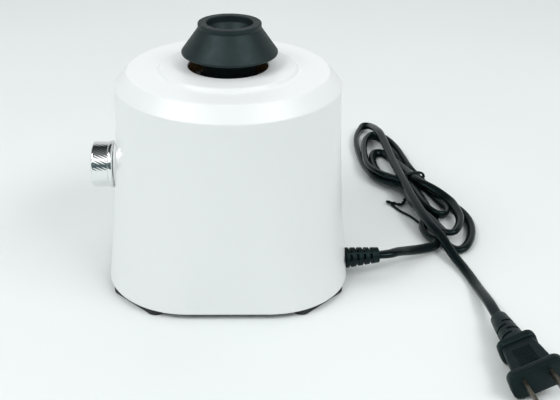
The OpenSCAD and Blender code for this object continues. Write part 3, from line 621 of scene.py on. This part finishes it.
def bare_metal(name, colour, roughness, grain=700, stretch=(1, 1, 1)):
    return grained(
        name, colour, roughness, 1.0,
        ((60, 4), 0.82), ((grain, 4, stretch), 0.1), ((grain, 3, stretch), 0.15, 0.04),
    )


def plain_moulding(name, colour, roughness):
    return grained(name, colour, roughness, 0.0, ((150, 3), 0.85), ((300, 3), 0.05), ((1800, 2), 0.2, 0.04))


# The finish of each CAD piece that stays, by its slot: the function that makes it, then its values.
FINISHES = {
    "base_iron": (grained, "painted_iron", (0.028, 0.029, 0.031), 0.6, 0.0,
                  ((50, 5), 0.6), None, ((700, 5), 0.5, 0.2)),
    "mount_rubber": (matt_rubber,),
    "screw_steel": (bare_metal, "zinc_steel", (0.56, 0.57, 0.58), 0.32, 900),
    "bracket_alloy": (bare_metal, "cast_alloy", (0.52, 0.53, 0.55), 0.5, 500),
    "stack_steel": (banded, "laminated_steel", (0.30, 0.31, 0.33), 0.48, 1.0, (320, "Z"), 0.6, 0.5, 0.1),
    "winding_copper": (banded, "wound_copper", (0.52, 0.20, 0.07), 0.3, 0.85,
                       (420, "DIAGONAL", 1.2), 0.5, 0.7, 0.3),
    "bush_bronze": (bare_metal, "sintered_bronze", (0.50, 0.34, 0.15), 0.5, 1500),
    "rotor_alloy": (bare_metal, "rotor_alloy", (0.68, 0.69, 0.7), 0.45, 600),
    "shaft_steel": (bare_metal, "ground_steel", (0.6, 0.61, 0.63), 0.24, 1200, (1, 1, 0.1)),
    # The collar's brown is lighter than the laminate's own colour: painted light that makes up for the shade
    # inside the opening.
    "collar_brown": (grained, "brown_laminate", (0.70, 0.43, 0.21), 0.42, 0.0,
                     ((200, 5, (1, 1, 4)), 0.55), None, ((1600, 3), 0.2, 0.04)),
    "disc_black": (moulded_black, "black_enamel", (0.010, 0.010, 0.011), 0.35, 900),
    "bearing_steel": (bare_metal, "bearing_steel", (0.66, 0.67, 0.69), 0.12, 1500),
    "holder_black": (moulded_black, "holder_black", (0.012, 0.013, 0.014), 0.55),
    "pot_metal": (bare_metal, "plated_brass", (0.58, 0.58, 0.57), 0.28, 900),
    "pot_black": (moulded_black, "control_black", (0.03, 0.03, 0.034)),
    "board_green": (banded, "solder_mask", (0.02, 0.17, 0.07), 0.3, 0.0, (140, "Y", 6.0), 0.55, 0.3, 0.05),
    "capacitor_yellow": (plain_moulding, "capacitor_yellow", (0.68, 0.43, 0.07), 0.3),
    "triac_black": (moulded_black, "triac_black", (0.02, 0.02, 0.02), 0.45),
    "sink_alloy": (bare_metal, "extruded_alloy", (0.7, 0.71, 0.72), 0.36, 900, (1, 1, 0.08)),
    "block_green": (plain_moulding, "block_green", (0.05, 0.33, 0.17), 0.4),
    "wire_red": (plain_moulding, "wire_red", (0.48, 0.05, 0.03), 0.35),
}


# ---- operators ----


class MIXER_OT_stage(bpy.types.Operator):
    """Adds the camera, the pale floor and the soft studio light"""

    bl_idname = "mixer.stage"
    bl_label = "Stage"

    def execute(self, context):
        settings = context.scene.mixer_stage
        self.add_camera(context, settings)
        self.add_floor(context, settings)
        self.add_light("left_key", (-0.80, -0.50, 1.15), (0.9, 0.42), settings.key_power)
        self.add_light("right_key", (0.78, -0.50, 1.10), (0.8, 0.42), settings.side_power)
        self.add_light("back_light", (0.25, 0.9, 1.3), (1.6, 0.8), settings.fill_power, mirrored=False)
        self.add_room(context, settings)
        context.scene.view_settings.view_transform = "Standard"
        return {"FINISHED"}

    def add_camera(self, context, settings):
        camera = bpy.data.cameras.new("camera")
        camera.sensor_width = 36
        camera.lens = settings.camera_lens
        camera.shift_x = settings.camera_shift
        camera.clip_start = 0.01
        holder = bpy.data.objects.new("camera", camera)
        holder.location = (0, -settings.camera_distance, settings.camera_height)
        holder.rotation_euler = (math.pi / 2 - settings.camera_pitch, settings.camera_roll, 0)
        context.scene.collection.objects.link(holder)
        context.scene.camera = holder

    def add_floor(self, context, settings):
        bm = bmesh.new()
        bmesh.ops.create_grid(bm, x_segments=8, y_segments=8, size=4)
        mesh = bpy.data.meshes.new("floor")
        bm.to_mesh(mesh)
        bm.free()
        finish = Finish("floor_cloth", tuple(settings.floor_colour), 0.9)
        finish.tint(finish.noise(3, 2), 0.97)
        finish.relief(finish.noise(1800, 2), 0.08, 0.1 * MM)
        mesh.materials.append(finish.material)
        floor = bpy.data.objects.new("floor", mesh)
        context.scene.collection.objects.link(floor)

    def add_light(self, name, place, size, power, mirrored=True):
        light = bpy.data.lights.new(name, "AREA")
        light.shape = "RECTANGLE"
        light.size, light.size_y = size
        light.energy = power
        holder = bpy.data.objects.new(name, light)
        holder.location = place
        holder.visible_glossy = mirrored
        aim = Vector((0, 0, 0.06)) - Vector(place)
        holder.rotation_euler = aim.to_track_quat("-Z", "Y").to_euler()
        bpy.context.scene.collection.objects.link(holder)

    def add_room(self, context, settings):
        """An even pale room, which polished surfaces see as dark walls, a light strip and a pale back."""
        world = bpy.data.worlds.new("room")
        world.use_nodes = True
        tree = world.node_tree
        tree.nodes.clear()
        even = add_node(tree, "Background", Color=(0.95, 0.99, 0.985, 1), Strength=settings.room_strength)
        seen = add_node(tree, "Background", Color=self.room_bands(tree), Strength=1.0)
        path = add_node(tree, "LightPath")
        mix = add_node(tree, "MixShader", Fac=path.outputs["Is Glossy Ray"])
        for place, source in ((1, even), (2, seen)):
            tree.links.new(source.outputs["Background"], mix.inputs[place])
        add_node(tree, "OutputWorld", Surface=mix.outputs["Shader"])
        context.scene.world = world

    def room_bands(self, tree):
        """Colour by the angle up from the front horizon, from -180 to 180 degrees.

        The top is 90, and the back horizon is both ends."""
        coordinates = add_node(tree, "TexCoord")
        split = add_node(tree, "SeparateXYZ", Vector=coordinates.outputs["Generated"])
        forward = add_node(tree, "Math", Value=split.outputs["Y"])
        forward.operation = "MULTIPLY"
        forward.inputs[1].default_value = -1
        angle = add_node(tree, "Math", Value=split.outputs["Z"])
        angle.operation = "ARCTAN2"
        tree.links.new(forward.outputs["Value"], angle.inputs[1])
        share = add_node(tree, "MapRange", Value=angle.outputs["Value"], From_Min=-math.pi, From_Max=math.pi)
        ramp = add_node(tree, "ValToRGB", Fac=share.outputs["Result"])
        bands = [
            (-180, (0.75, 0.78, 0.78)), (-75, (0.8, 0.84, 0.83)), (-46, (0.75, 0.8, 0.79)),
            (-40, (0.05, 0.08, 0.08)), (30, (0.10, 0.15, 0.155)), (34, (1.3, 1.3, 1.3)),
            (52, (1.3, 1.3, 1.3)), (64, (0.20, 0.21, 0.21)), (110, (0.02, 0.025, 0.025)),
            (132, (0.03, 0.035, 0.035)), (143, (0.6, 0.62, 0.62)),
            (180, (0.75, 0.75, 0.76)),
        ]
        elements = ramp.color_ramp.elements
        for degrees, colour in bands[1:-1]:
            elements.new((degrees + 180) / 360).color = (*colour, 1)
        elements[0].color = (*bands[0][1], 1)
        elements[-1].color = (*bands[-1][1], 1)
        return ramp.outputs["Color"]


class MIXER_OT_lead(bpy.types.Operator):
    """Adds the flat mains lead in its tied bundle, from the strain relief to the plug"""

    bl_idname = "mixer.lead"
    bl_label = "Mains lead"

    def execute(self, context):
        sizes = context.scene.mixer_lead
        route = LEAD_ROUTE + FOLD_ROUTE + TAIL_ROUTE
        centres, rolls = smooth_route(route, SAMPLE_STEP)
        bm = bmesh.new()
        sweep(bm, centres, rolls, sizes.width, sizes.thickness, LEAD_SIDES)
        sheath = lead_sheath(tuple(sizes.colour))
        lead = make_piece(
            "mains_lead", bm, sheath, "housing", ("cord_lead", "cord_hank", "cord_tail")
        )
        return {"FINISHED"}


class MIXER_OT_relief(bpy.types.Operator):
    """Adds the slotted strain relief"""

    bl_idname = "mixer.relief"
    bl_label = "Strain relief"

    rows = 4
    first_slot = 1.0 * MM
    slot_pitch = 3.75 * MM
    slot_width = 1.3 * MM
    slot_depth = 1.8 * MM
    # Half angles of the slots on the parting lines and between them.
    narrow_slot = math.radians(20)
    wide_slot = math.radians(55)
    lean = math.radians(27)
    exit = (65.4 * MM, -22.0 * MM, 11.0 * MM)

    def execute(self, context):
        sizes = context.scene.mixer_lead
        bm = bmesh.new()
        slots = [self.first_slot + self.slot_pitch * i for i in range(self.rows)]
        stations = [-1.5 * MM, 0.0]
        for z in slots:
            stations += [z - self.slot_width / 2, z + self.slot_width / 2]
        stations.append(sizes.relief_length)
        loft(bm, [self.ring(sizes, z) for z in stations], 96)
        for z in slots:
            for quarter in range(4):
                faces = [face for face in bm.faces if self.in_slot(face, z, quarter)]
                sink_slot(bm, faces, (0, 0), 1 - self.slot_depth / self.radius_at(sizes, z))
        core = 4.7 * MM
        loft(bm, [oval(core, core, -7.5 * MM), oval(core, core, -1.2 * MM)], 48)
        flange = sizes.relief_radius + 1.5 * MM
        loft(bm, [oval(flange, flange, -5.2 * MM), oval(flange, flange, -3.3 * MM)], 48)
        bmesh.ops.transform(bm, matrix=self.placement(), verts=bm.verts)
        relief = make_piece(
            "strain_relief_boot", bm, moulded_black("relief_black", (0.0040, 0.0070, 0.0072), 0.5),
            "housing", ("strain_relief",),
        )
        add_bevel(relief, 0.2 * MM)
        return {"FINISHED"}

    def radius_at(self, sizes, z):
        share = max(z, 0) / sizes.relief_length
        return sizes.relief_radius + (sizes.relief_tip_radius - sizes.relief_radius) * share

    def ring(self, sizes, z):
        """A round ring with a faint parting ridge on both sides."""
        radius = self.radius_at(sizes, z)
        ridge = 0.12 * MM

        def place(angle):
            reach = radius + ridge * max(0, 1 - abs(math.sin(angle)) / 0.07)
            return Vector((reach * math.cos(angle), reach * math.sin(angle), z))

        return place

    def in_slot(self, face, z, quarter):
        place = centre_of(face)
        if abs(place.z - z) > self.slot_width / 4 or abs(face.normal.z) > 0.5:
            return False
        off = (math.atan2(place.y, place.x) - quarter * math.pi / 2 + math.pi) % FULL_TURN - math.pi
        return abs(off) < (self.wide_slot if quarter % 2 else self.narrow_slot)

    def placement(self):
        """From along +Z to outwards from the cover's side, turned a little to the back and up."""
        aim = Matrix.Rotation(math.radians(6), 4, "Z") @ Matrix.Rotation(math.radians(90 - 2), 4, "Y")
        roll = Matrix.Rotation(math.pi / 2 - self.lean, 4, "Z")
        return Matrix.Translation(self.exit) @ aim @ roll


class MIXER_OT_tie(bpy.types.Operator):
    """Adds the coated wire that ties the bundle, with its twisted ends"""

    bl_idname = "mixer.tie"
    bl_label = "Wire tie"

    bundle_centre = (120.2, 83.6, 5.6)
    bundle_turn = math.radians(22)
    half_width = 9.9
    half_height = 5.2
    turns = 2

    def execute(self, context):
        sizes = context.scene.mixer_lead
        bm = bmesh.new()
        add_tube(bm, self.band_points(), sizes.tie_radius, 8)
        for phase in (0, math.pi):
            add_tube(bm, self.twist_points(phase), 0.8 * sizes.tie_radius, 8)
        straight_end = [
            (103.2, 60.4, 1.8), (103.9, 58.4, 1.0), (107.8, 50.1, 0.9), (112.8, 43.1, 0.9), (116.4, 35.4, 0.9),
        ]
        add_tube(bm, straight_end, sizes.tie_radius, 8)
        make_piece(
            "wire_tie", bm, moulded_black("tie_coating", (0.004, 0.007, 0.0075), 0.4),
            "housing", ("cord_tie",),
        )
        return {"FINISHED"}

    def band_points(self):
        """Two slanting turns round the bundle."""
        cx, cy, cz = self.bundle_centre
        points = []
        count = 12 * self.turns
        for i in range(count + 1):
            angle = math.pi + FULL_TURN * i / 12
            across = self.half_width * math.copysign(abs(math.cos(angle)) ** 0.7, math.cos(angle))
            up = self.half_height * math.copysign(abs(math.sin(angle)) ** 0.7, math.sin(angle))
            shift = 1.7 * (i / count - 0.5)
            x = cx + across * math.cos(self.bundle_turn) - shift * math.sin(self.bundle_turn)
            y = cy + across * math.sin(self.bundle_turn) + shift * math.cos(self.bundle_turn)
            points.append((x, y, max(cz + up, 0.8)))
        return points

    def twist_points(self, phase):
        """One of the two ends twisted round each other, down to the table."""
        spine = [
            (115.0, 70.0, 3.4), (112.4, 62.4, 1.9), (109.0, 57.2, 1.7), (105.2, 58.8, 1.7), (100.7, 61.3, 1.7),
        ]
        centres, _ = smooth_route([p + (0,) for p in spine], 1.0 * MM)
        points = []
        for i, centre in enumerate(centres):
            ahead = (centres[min(i + 1, len(centres) - 1)] - centres[max(i - 1, 0)]).normalized()
            side = ahead.cross(Vector((0, 0, 1))).normalized()
            up = side.cross(ahead)
            angle = phase + 0.9 * i
            offset = (side * math.cos(angle) + up * math.sin(angle)) * 0.62 * MM
            points.append(tuple((centre + offset) / MM))
        return points


class MIXER_OT_plug(bpy.types.Operator):
    """Adds the two-pin plug with its slotted boot, collar and gripping panel"""

    bl_idname = "mixer.plug"
    bl_label = "Plug"

    cord_end = (134.0 * MM, -74.0 * MM, 7.8 * MM)
    segments = 64

    def execute(self, context):
        sizes = context.scene.mixer_plug
        black = moulded_black("plug_black", (0.0065, 0.0105, 0.0110), 0.44, 3000)
        bm = bmesh.new()
        self.add_boot(bm, sizes)
        self.add_collar(bm, sizes)
        self.add_neck(bm, sizes)
        self.add_head(bm, sizes)
        bmesh.ops.transform(bm, matrix=self.placement(sizes), verts=bm.verts)
        body = make_piece("plug_moulding", bm, black, "housing", ("plug_body",))
        add_bevel(body, 0.3 * MM)
        pins = bmesh.new()
        for side in (-1, 1):
            self.add_blade(pins, sizes, side)
        bmesh.ops.transform(pins, matrix=self.placement(sizes), verts=pins.verts)
        blades = make_piece(
            "plug_pins", pins, dull_brass(), "housing", ("plug_blades",), smooth=False
        )
        add_bevel(blades, 0.25 * MM)
        return {"FINISHED"}

    def placement(self, sizes):
        """From along +Z with X across and Y up, to forwards over the table."""
        turn = Matrix.Rotation(sizes.turn, 4, "Z")
        lay = Matrix.Rotation(math.pi / 2 - sizes.pitch, 4, "X")
        roll = Matrix.Rotation(sizes.roll, 4, "Z")
        return Matrix.Translation(self.cord_end) @ turn @ lay @ roll

    def add_boot(self, bm, sizes):
        lead = bpy.context.scene.mixer_lead
        start = lead.width / 2 + 1.4 * MM
        flare = 2.0 * MM
        length = sizes.boot_length
        half = 0.65 * MM
        rows = [(10.05 * MM + 3.7 * MM * i, -1 if i % 2 else 1) for i in range(4)]
        stations = [1.6 * MM]
        for z, _ in rows:
            stations += [z - half, z + half]
        stations.append(length + 0.4 * MM)

        def ring(z, shrink=0.0):
            radius = start + flare * z / length - shrink
            return oval(radius, radius, z)

        nose = [ring(0, 1.3 * MM), ring(0.25 * MM, 0.7 * MM), ring(0.8 * MM, 0.2 * MM)]
        loft(bm, nose + [ring(z) for z in stations], self.segments)
        for z, side in rows:
            for facing in (-1, 1):
                faces = [
                    face for face in bm.faces
                    if abs(centre_of(face).z - z) < half / 2 and abs(face.normal.z) < 0.5
                    and centre_of(face).x * side > -0.5 * MM and centre_of(face).y * facing > 0.8 * MM
                ]
                sink_slot(bm, faces, (0, 0), 0.68)

    def add_collar(self, bm, sizes):
        z = sizes.boot_length
        steps = [(0, 2.6), (0.3, 0.9), (1.2, 0), (3.7, 0), (4.4, 0.25), (4.85, 0.8), (5.0, 1.5)]
        loops = [
            rounded_bar((9.3 - inset) * MM, (6.8 - inset) * MM, (4.0 - inset) * MM, z + along * MM)
            for along, inset in steps
        ]
        loft(bm, loops, self.segments)

    def add_neck(self, bm, sizes):
        z = sizes.boot_length + sizes.collar_length
        length = sizes.neck_length
        loops = []
        for share in (-0.05, 0.0, 0.2, 0.4, 0.6, 0.8, 0.95, 1.05):
            widen = max(0.0, min(share, 1.0)) ** 0.8
            loops.append(rounded_bar((7.5 + 2.0 * widen) * MM, 5.3 * MM, 1.4 * MM, z + share * length))
        loft(bm, loops, self.segments)
        for facing in (-1, 1):
            self.add_panel(bm, z + 4.8 * MM, 11.2 * MM, facing)

    def add_panel(self, bm, z, length, facing):
        """A gripping panel of fine crossed ribs."""
        rows = 10
        width = 8.4 * MM
        rib = 0.34 * MM
        middle = z + length / 2
        for i in range(rows):
            off = (i - (rows - 1) / 2) / (rows - 1)
            ribs = (
                ((off * width, facing * 5.32 * MM, middle), (rib, 0.7 * MM, length + rib, 1)),
                ((0, facing * 5.31 * MM, middle + off * length), (width + rib, 0.66 * MM, rib, 1)),
            )
            for place, size in ribs:
                bmesh.ops.create_cube(bm, size=1, matrix=Matrix.Translation(place) @ Matrix.Diagonal(size))

    def add_head(self, bm, sizes):
        z = sizes.boot_length + sizes.collar_length + sizes.neck_length
        end = sizes.head_length / MM
        half_x = sizes.head_width / 2
        half_y = sizes.head_height / 2
        steps = [
            (-0.3, 2.4), (0.0, 1.2), (0.5, 0.4), (1.3, 0), (end - 0.8, 0), (end - 0.25, 0.25), (end, 0.8),
        ]
        loops = [
            rounded_bar(half_x - inset * MM, half_y - inset * MM, (4.0 - inset) * MM, z + along * MM)
            for along, inset in steps
        ]
        loft(bm, loops, self.segments)

    def add_blade(self, bm, sizes, side):
        """A blade with a round hole near its chamfered tip."""
        start = sizes.boot_length + sizes.collar_length + sizes.neck_length + sizes.head_length
        x = side * sizes.blade_pitch / 2
        half = sizes.blade_width / 2
        length = sizes.blade_length
        tip = 1.6 * MM
        outline = [
            (-half, -1.0 * MM), (half, -1.0 * MM), (half, length - tip), (half - tip, length),
            (-half + tip, length), (-half, length - tip),
        ]
        hole_z = length - 3.6 * MM
        hole = 1.55 * MM
        turns = [FULL_TURN * i / 16 for i in range(16)]
        rim = [(hole * math.cos(turn), hole_z + hole * math.sin(turn)) for turn in turns]
        verts = []
        edges = []
        for loop in (outline, rim):
            ring = [bm.verts.new((x - sizes.blade_thickness / 2, y, start + along)) for y, along in loop]
            edges += [bm.edges.new((ring[i], ring[(i + 1) % len(ring)])) for i in range(len(ring))]
            verts += ring
        filled = bmesh.ops.triangle_fill(bm, use_beauty=True, edges=edges)["geom"]
        grown = bmesh.ops.extrude_face_region(bm, geom=only(bmesh.types.BMFace, filled))["geom"]
        bmesh.ops.translate(bm, verts=only(bmesh.types.BMVert, grown), vec=(sizes.blade_thickness, 0, 0))
        bmesh.ops.recalc_face_normals(bm, faces=bm.faces)


class MIXER_OT_cover(bpy.types.Operator):
    """Adds the moulded cover, flared at its foot, with its round deck and raised ring"""

    bl_idname = "mixer.cover"
    bl_label = "Cover"

    def execute(self, context):
        sizes = context.scene.mixer_cover
        self.sizes = sizes
        deck_z = sizes.shoulder_z + sizes.chamfer_height
        ring_z = deck_z + sizes.ring_rise
        under_z = deck_z - sizes.wall
        edge_z = sizes.edge_z
        edge_half = self.half_at(edge_z)
        wall_top = sizes.shoulder_z - 2 * MM
        # The thin lip of the opening, and the radius at which the cover is thick again.
        lip_z = ring_z - 1.2 * MM
        liner = 25.0 * MM
        wall = [(self.half_at(z), z, 0) for z in self.wall_heights(edge_z + 1.4 * MM, wall_top)]
        outside = fillet(
            [(edge_half - 1.4 * MM, edge_z, 0), (edge_half, edge_z, 0.6 * MM)]
            + wall
            + [
                (sizes.shoulder_radius, sizes.shoulder_z, 1.6 * MM), (sizes.deck_radius, deck_z, 1.3 * MM),
                (sizes.ring_radius + sizes.ring_rise, deck_z, 0.5 * MM), (sizes.ring_radius, ring_z, 0.7 * MM),
                (sizes.opening_radius, ring_z, 0.5 * MM), (sizes.opening_radius, ring_z - 1.1 * MM, 0),
            ]
        )
        inner_wall = [
            (self.half_at(z) - sizes.wall, z, 0)
            for z in reversed(self.wall_heights(edge_z + 0.5 * MM, wall_top))
        ]
        inside = fillet(
            [(sizes.opening_radius, lip_z, 0), (liner, lip_z, 0), (liner, under_z, 0)]
            + [(sizes.deck_radius - 1.2 * MM, under_z, 1 * MM)]
            + [(sizes.shoulder_radius - sizes.wall, sizes.shoulder_z - 1 * MM, 1 * MM)] + inner_wall
            + [(edge_half - sizes.wall, edge_z, 0)]
        )
        profile = add_support(outside, 0.3 * MM) + inside
        loops = [rounded_square(half, self.corner_at(half, z), z) for half, z in profile]
        bm = bmesh.new()
        loft(bm, loops, COVER_SEGMENTS, ring=True)
        self.add_knob_seat(bm)
        white = moulded_white(tuple(sizes.colour))
        make_piece("cover_moulding", bm, white, "housing", ("housing_cover",))
        return {"FINISHED"}

    def add_knob_seat(self, bm):
        """The flat ring behind the knob, which evens out the flare of the wall."""
        knob_low, knob_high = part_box("speed_knob")
        centre_z = (knob_low[2] + knob_high[2]) / 2
        seat = bmesh.new()
        steps = [(9.4, -1.0), (12.1, -1.0), (12.1, 0.5), (11.9, 0.7), (9.4, 0.7)]
        loft(seat, [oval(reach * MM, reach * MM, along * MM) for reach, along in steps], 96, ring=True)
        on_wall = Matrix.Translation((-self.half_at(centre_z), 0, centre_z))
        place = on_wall @ Matrix.Rotation(-math.pi / 2, 4, "Y")
        bmesh.ops.transform(seat, matrix=place, verts=seat.verts)
        bmesh.ops.recalc_face_normals(seat, faces=seat.faces)
        join_mesh(bm, seat)

    def flare(self, z):
        sizes = self.sizes
        share = 1 - (z - sizes.edge_z) / (sizes.shoulder_z - sizes.edge_z)
        return max(share, 0) ** sizes.flare_power

    def half_at(self, z):
        sizes = self.sizes
        return sizes.shoulder_radius + (sizes.half_width - sizes.shoulder_radius) * self.flare(z)

    def corner_at(self, half, z):
        sizes = self.sizes
        outer = sizes.shoulder_radius + (sizes.corner_radius - sizes.shoulder_radius) * self.flare(z)
        return outer - (self.half_at(z) - half)

    def wall_heights(self, low, high):
        count = 30
        return [low + (high - low) * (i / count) ** 1.3 for i in range(count + 1)]


class MIXER_OT_cup(bpy.types.Operator):
    """Adds the rubber cup with its recess for a tube"""

    bl_idname = "mixer.cup"
    bl_label = "Rubber cup"

    def execute(self, context):
        sizes = context.scene.mixer_cup
        low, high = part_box("rubber_cup")
        centre = ((low[0] + high[0]) / 2, (low[1] + high[1]) / 2)
        top = high[2]
        base = top - sizes.height
        rim = sizes.rim_radius
        recess = sizes.recess_radius
        floor = top - sizes.recess_depth
        profile = fillet([
            (0, base + 3.0 * MM, 0), (6.0 * MM, base + 3.0 * MM, 0.3 * MM), (6.0 * MM, base, 0.3 * MM),
            (sizes.skirt_radius - 0.1 * MM, base, 0.5 * MM), (sizes.skirt_radius, base + 1.1 * MM, 0.5 * MM),
            (rim - 0.25 * MM, top - sizes.band_height - 0.5 * MM, 0.25 * MM),
            (rim, top - sizes.band_height, 0.25 * MM), (rim, top, 0.55 * MM),
            (recess, top, 0.5 * MM), (recess - 0.2 * MM, floor, 1.2 * MM),
            (recess - 3.2 * MM, floor - 0.72 * sizes.bowl_depth, 4.0 * MM), (0, floor - sizes.bowl_depth, 0),
        ], 8)
        bm = bmesh.new()
        lathe(bm, add_support(profile, 0.25 * MM), centre)
        rubber = satin_rubber(tuple(sizes.colour))
        make_piece("cup_moulding", bm, rubber, "cup", ("rubber_cup",))
        return {"FINISHED"}


class MIXER_OT_knob(bpy.types.Operator):
    """Adds the polished speed knob with twisted flutes"""

    bl_idname = "mixer.knob"
    bl_label = "Speed knob"

    def execute(self, context):
        sizes = context.scene.mixer_knob
        low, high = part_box("speed_knob")
        length = high[0] - low[0]
        segments = 10 * sizes.flutes
        lip = sizes.lip_height
        radius = sizes.radius
        dish = 3.0 * MM

        def smooth_rings(*places):
            return [oval(reach, reach, z) for reach, z in places]

        def fluted_ring(z, share):
            def place(angle):
                turn = angle + sizes.twist * z / length
                sink = sizes.flute_depth * share * (1 - math.cos(sizes.flutes * turn)) / 2
                reach = radius - sink
                return Vector((reach * math.cos(angle), reach * math.sin(angle), z))

            return place

        wide = sizes.lip_radius
        loops = smooth_rings(
            (9.6 * MM, 2.0 * MM), (9.6 * MM, 0), (wide - 0.35 * MM, 0), (wide, 0.35 * MM),
            (wide, lip - 0.3 * MM), (wide - 0.25 * MM, lip), (radius - 0.5 * MM, lip + 0.1 * MM),
        )
        start = lip + 0.35 * MM
        end = length - 0.9 * MM
        steps = 22
        for i in range(steps + 1):
            share = min(1, i / 2, (steps - i) / 2)
            loops.append(fluted_ring(start + (end - start) * i / steps, share))
        loops += smooth_rings(
            (radius - 0.15 * MM, length - 0.45 * MM), (radius - 0.6 * MM, length), (radius - dish, length),
            (radius - dish - 0.4 * MM, length - 0.4 * MM), (0.8 * MM, length - 0.5 * MM),
        )
        bm = bmesh.new()
        loft(bm, loops, segments)
        # From along +Z to outwards along -X, at the CAD knob's axis.
        axis = Matrix.Translation((high[0], (low[1] + high[1]) / 2, (low[2] + high[2]) / 2))
        outwards = Matrix(((0, 0, -1, 0), (-1, 0, 0, 0), (0, 1, 0, 0), (0, 0, 0, 1)))
        bmesh.ops.transform(bm, matrix=axis @ outwards, verts=bm.verts)
        bmesh.ops.recalc_face_normals(bm, faces=bm.faces)
        make_piece("knob_shell", bm, polished_chrome(), "knob", ("speed_knob",))
        return {"FINISHED"}


class MIXER_OT_feet(bpy.types.Operator):
    """Adds the four rubber feet with rounded edges"""

    bl_idname = "mixer.feet"
    bl_label = "Feet"

    width = 22.0 * MM
    length = 36.0 * MM
    height = 3.0 * MM
    stem_radius = 3.2 * MM
    outer = 71.2 * MM
    corner = 5.0 * MM
    edge = 0.5 * MM

    def execute(self, context):
        rubber = matt_rubber()
        half_w = self.width / 2
        half_l = self.length / 2
        top = self.height
        stem = self.stem_radius
        steps = [(0, self.edge), (self.edge, 0), (top - self.edge / 2, 0), (top, self.edge / 2)]
        loops = [rounded_bar(half_w - inset, half_l - inset, self.corner - inset, z) for z, inset in steps]
        corners = {
            "foot_back_right": 45, "foot_back_left": 135, "foot_front_left": 225, "foot_front_right": 315,
        }
        for node, degrees in corners.items():
            stem_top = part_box(node)[1][2]
            bm = bmesh.new()
            loft(bm, loops, 64)
            loft(bm, [oval(stem, stem, top - 0.2 * MM), oval(stem, stem, stem_top)], 32)
            turn = Matrix.Rotation(math.radians(degrees), 4, "Z")
            place = turn @ Matrix.Translation((self.outer - half_w, 0, 0))
            bmesh.ops.transform(bm, matrix=place, verts=bm.verts)
            piece = make_piece(node.replace("foot", "pad"), bm, rubber, "housing", (node,))
            add_bevel(piece, 0.2 * MM)
        return {"FINISHED"}


class MIXER_OT_finishes(bpy.types.Operator):
    """Gives every CAD piece that stays its own finish"""

    bl_idname = "mixer.finishes"
    bl_label = "Finishes"

    def execute(self, context):
        slot_of = {part["node"]: part["material_slot"] for part in frame["record"]["subparts"]}
        made = {}
        for name, piece in frame["nodes"].items():
            slot = slot_of[name]
            if slot not in FINISHES:
                continue
            if slot not in made:
                maker, *values = FINISHES[slot]
                made[slot] = maker(*values)
            for place in piece.material_slots:
                place.material = made[slot]
        wires = lead_sheath((0.012, 0.015, 0.016))
        for place in frame["nodes"]["inner_lead"].material_slots:
            place.material = wires
        return {"FINISHED"}


class MIXER_PT_panel(bpy.types.Panel):
    """Lists the mixer's pieces in the order they are made"""

    bl_idname = "MIXER_PT_panel"
    bl_label = "Vortex Mixer"
    bl_space_type = "VIEW_3D"
    bl_region_type = "UI"
    bl_category = "Vortex Mixer"

    def draw(self, context):
        for operator in OPERATORS:
            self.layout.operator(operator.bl_idname)
        for group in SIZE_GROUPS:
            box = self.layout.box()
            box.label(text=group.replace("mixer_", "").capitalize())
            sizes = getattr(context.scene, group)
            for name in sizes.__annotations__:
                box.prop(sizes, name)


OPERATORS = (
    MIXER_OT_stage, MIXER_OT_relief, MIXER_OT_tie, MIXER_OT_plug, MIXER_OT_lead, MIXER_OT_cover,
    MIXER_OT_cup, MIXER_OT_knob, MIXER_OT_feet, MIXER_OT_finishes,
)
SIZE_GROUPS = {
    "mixer_stage": StageSettings, "mixer_cover": CoverSizes, "mixer_cup": CupSizes,
    "mixer_knob": KnobSizes, "mixer_lead": LeadSizes, "mixer_plug": PlugSizes,
}
CLASSES = tuple(SIZE_GROUPS.values()) + OPERATORS + (MIXER_PT_panel,)


def register():
    for cls in CLASSES:
        bpy.utils.register_class(cls)
    for name, group in SIZE_GROUPS.items():
        setattr(bpy.types.Scene, name, bpy.props.PointerProperty(type=group))


def unregister():
    for name in SIZE_GROUPS:
        delattr(bpy.types.Scene, name)
    for cls in reversed(CLASSES):
        bpy.utils.unregister_class(cls)


def main():
    register()
    bpy.ops.mixer.stage()
    bpy.ops.mixer.relief()
    bpy.ops.mixer.tie()
    bpy.ops.mixer.plug()
    bpy.ops.mixer.lead()
    bpy.ops.mixer.cover()
    bpy.ops.mixer.cup()
    bpy.ops.mixer.knob()
    bpy.ops.mixer.feet()
    bpy.ops.mixer.finishes()


if __name__ == "__main__":
    main()
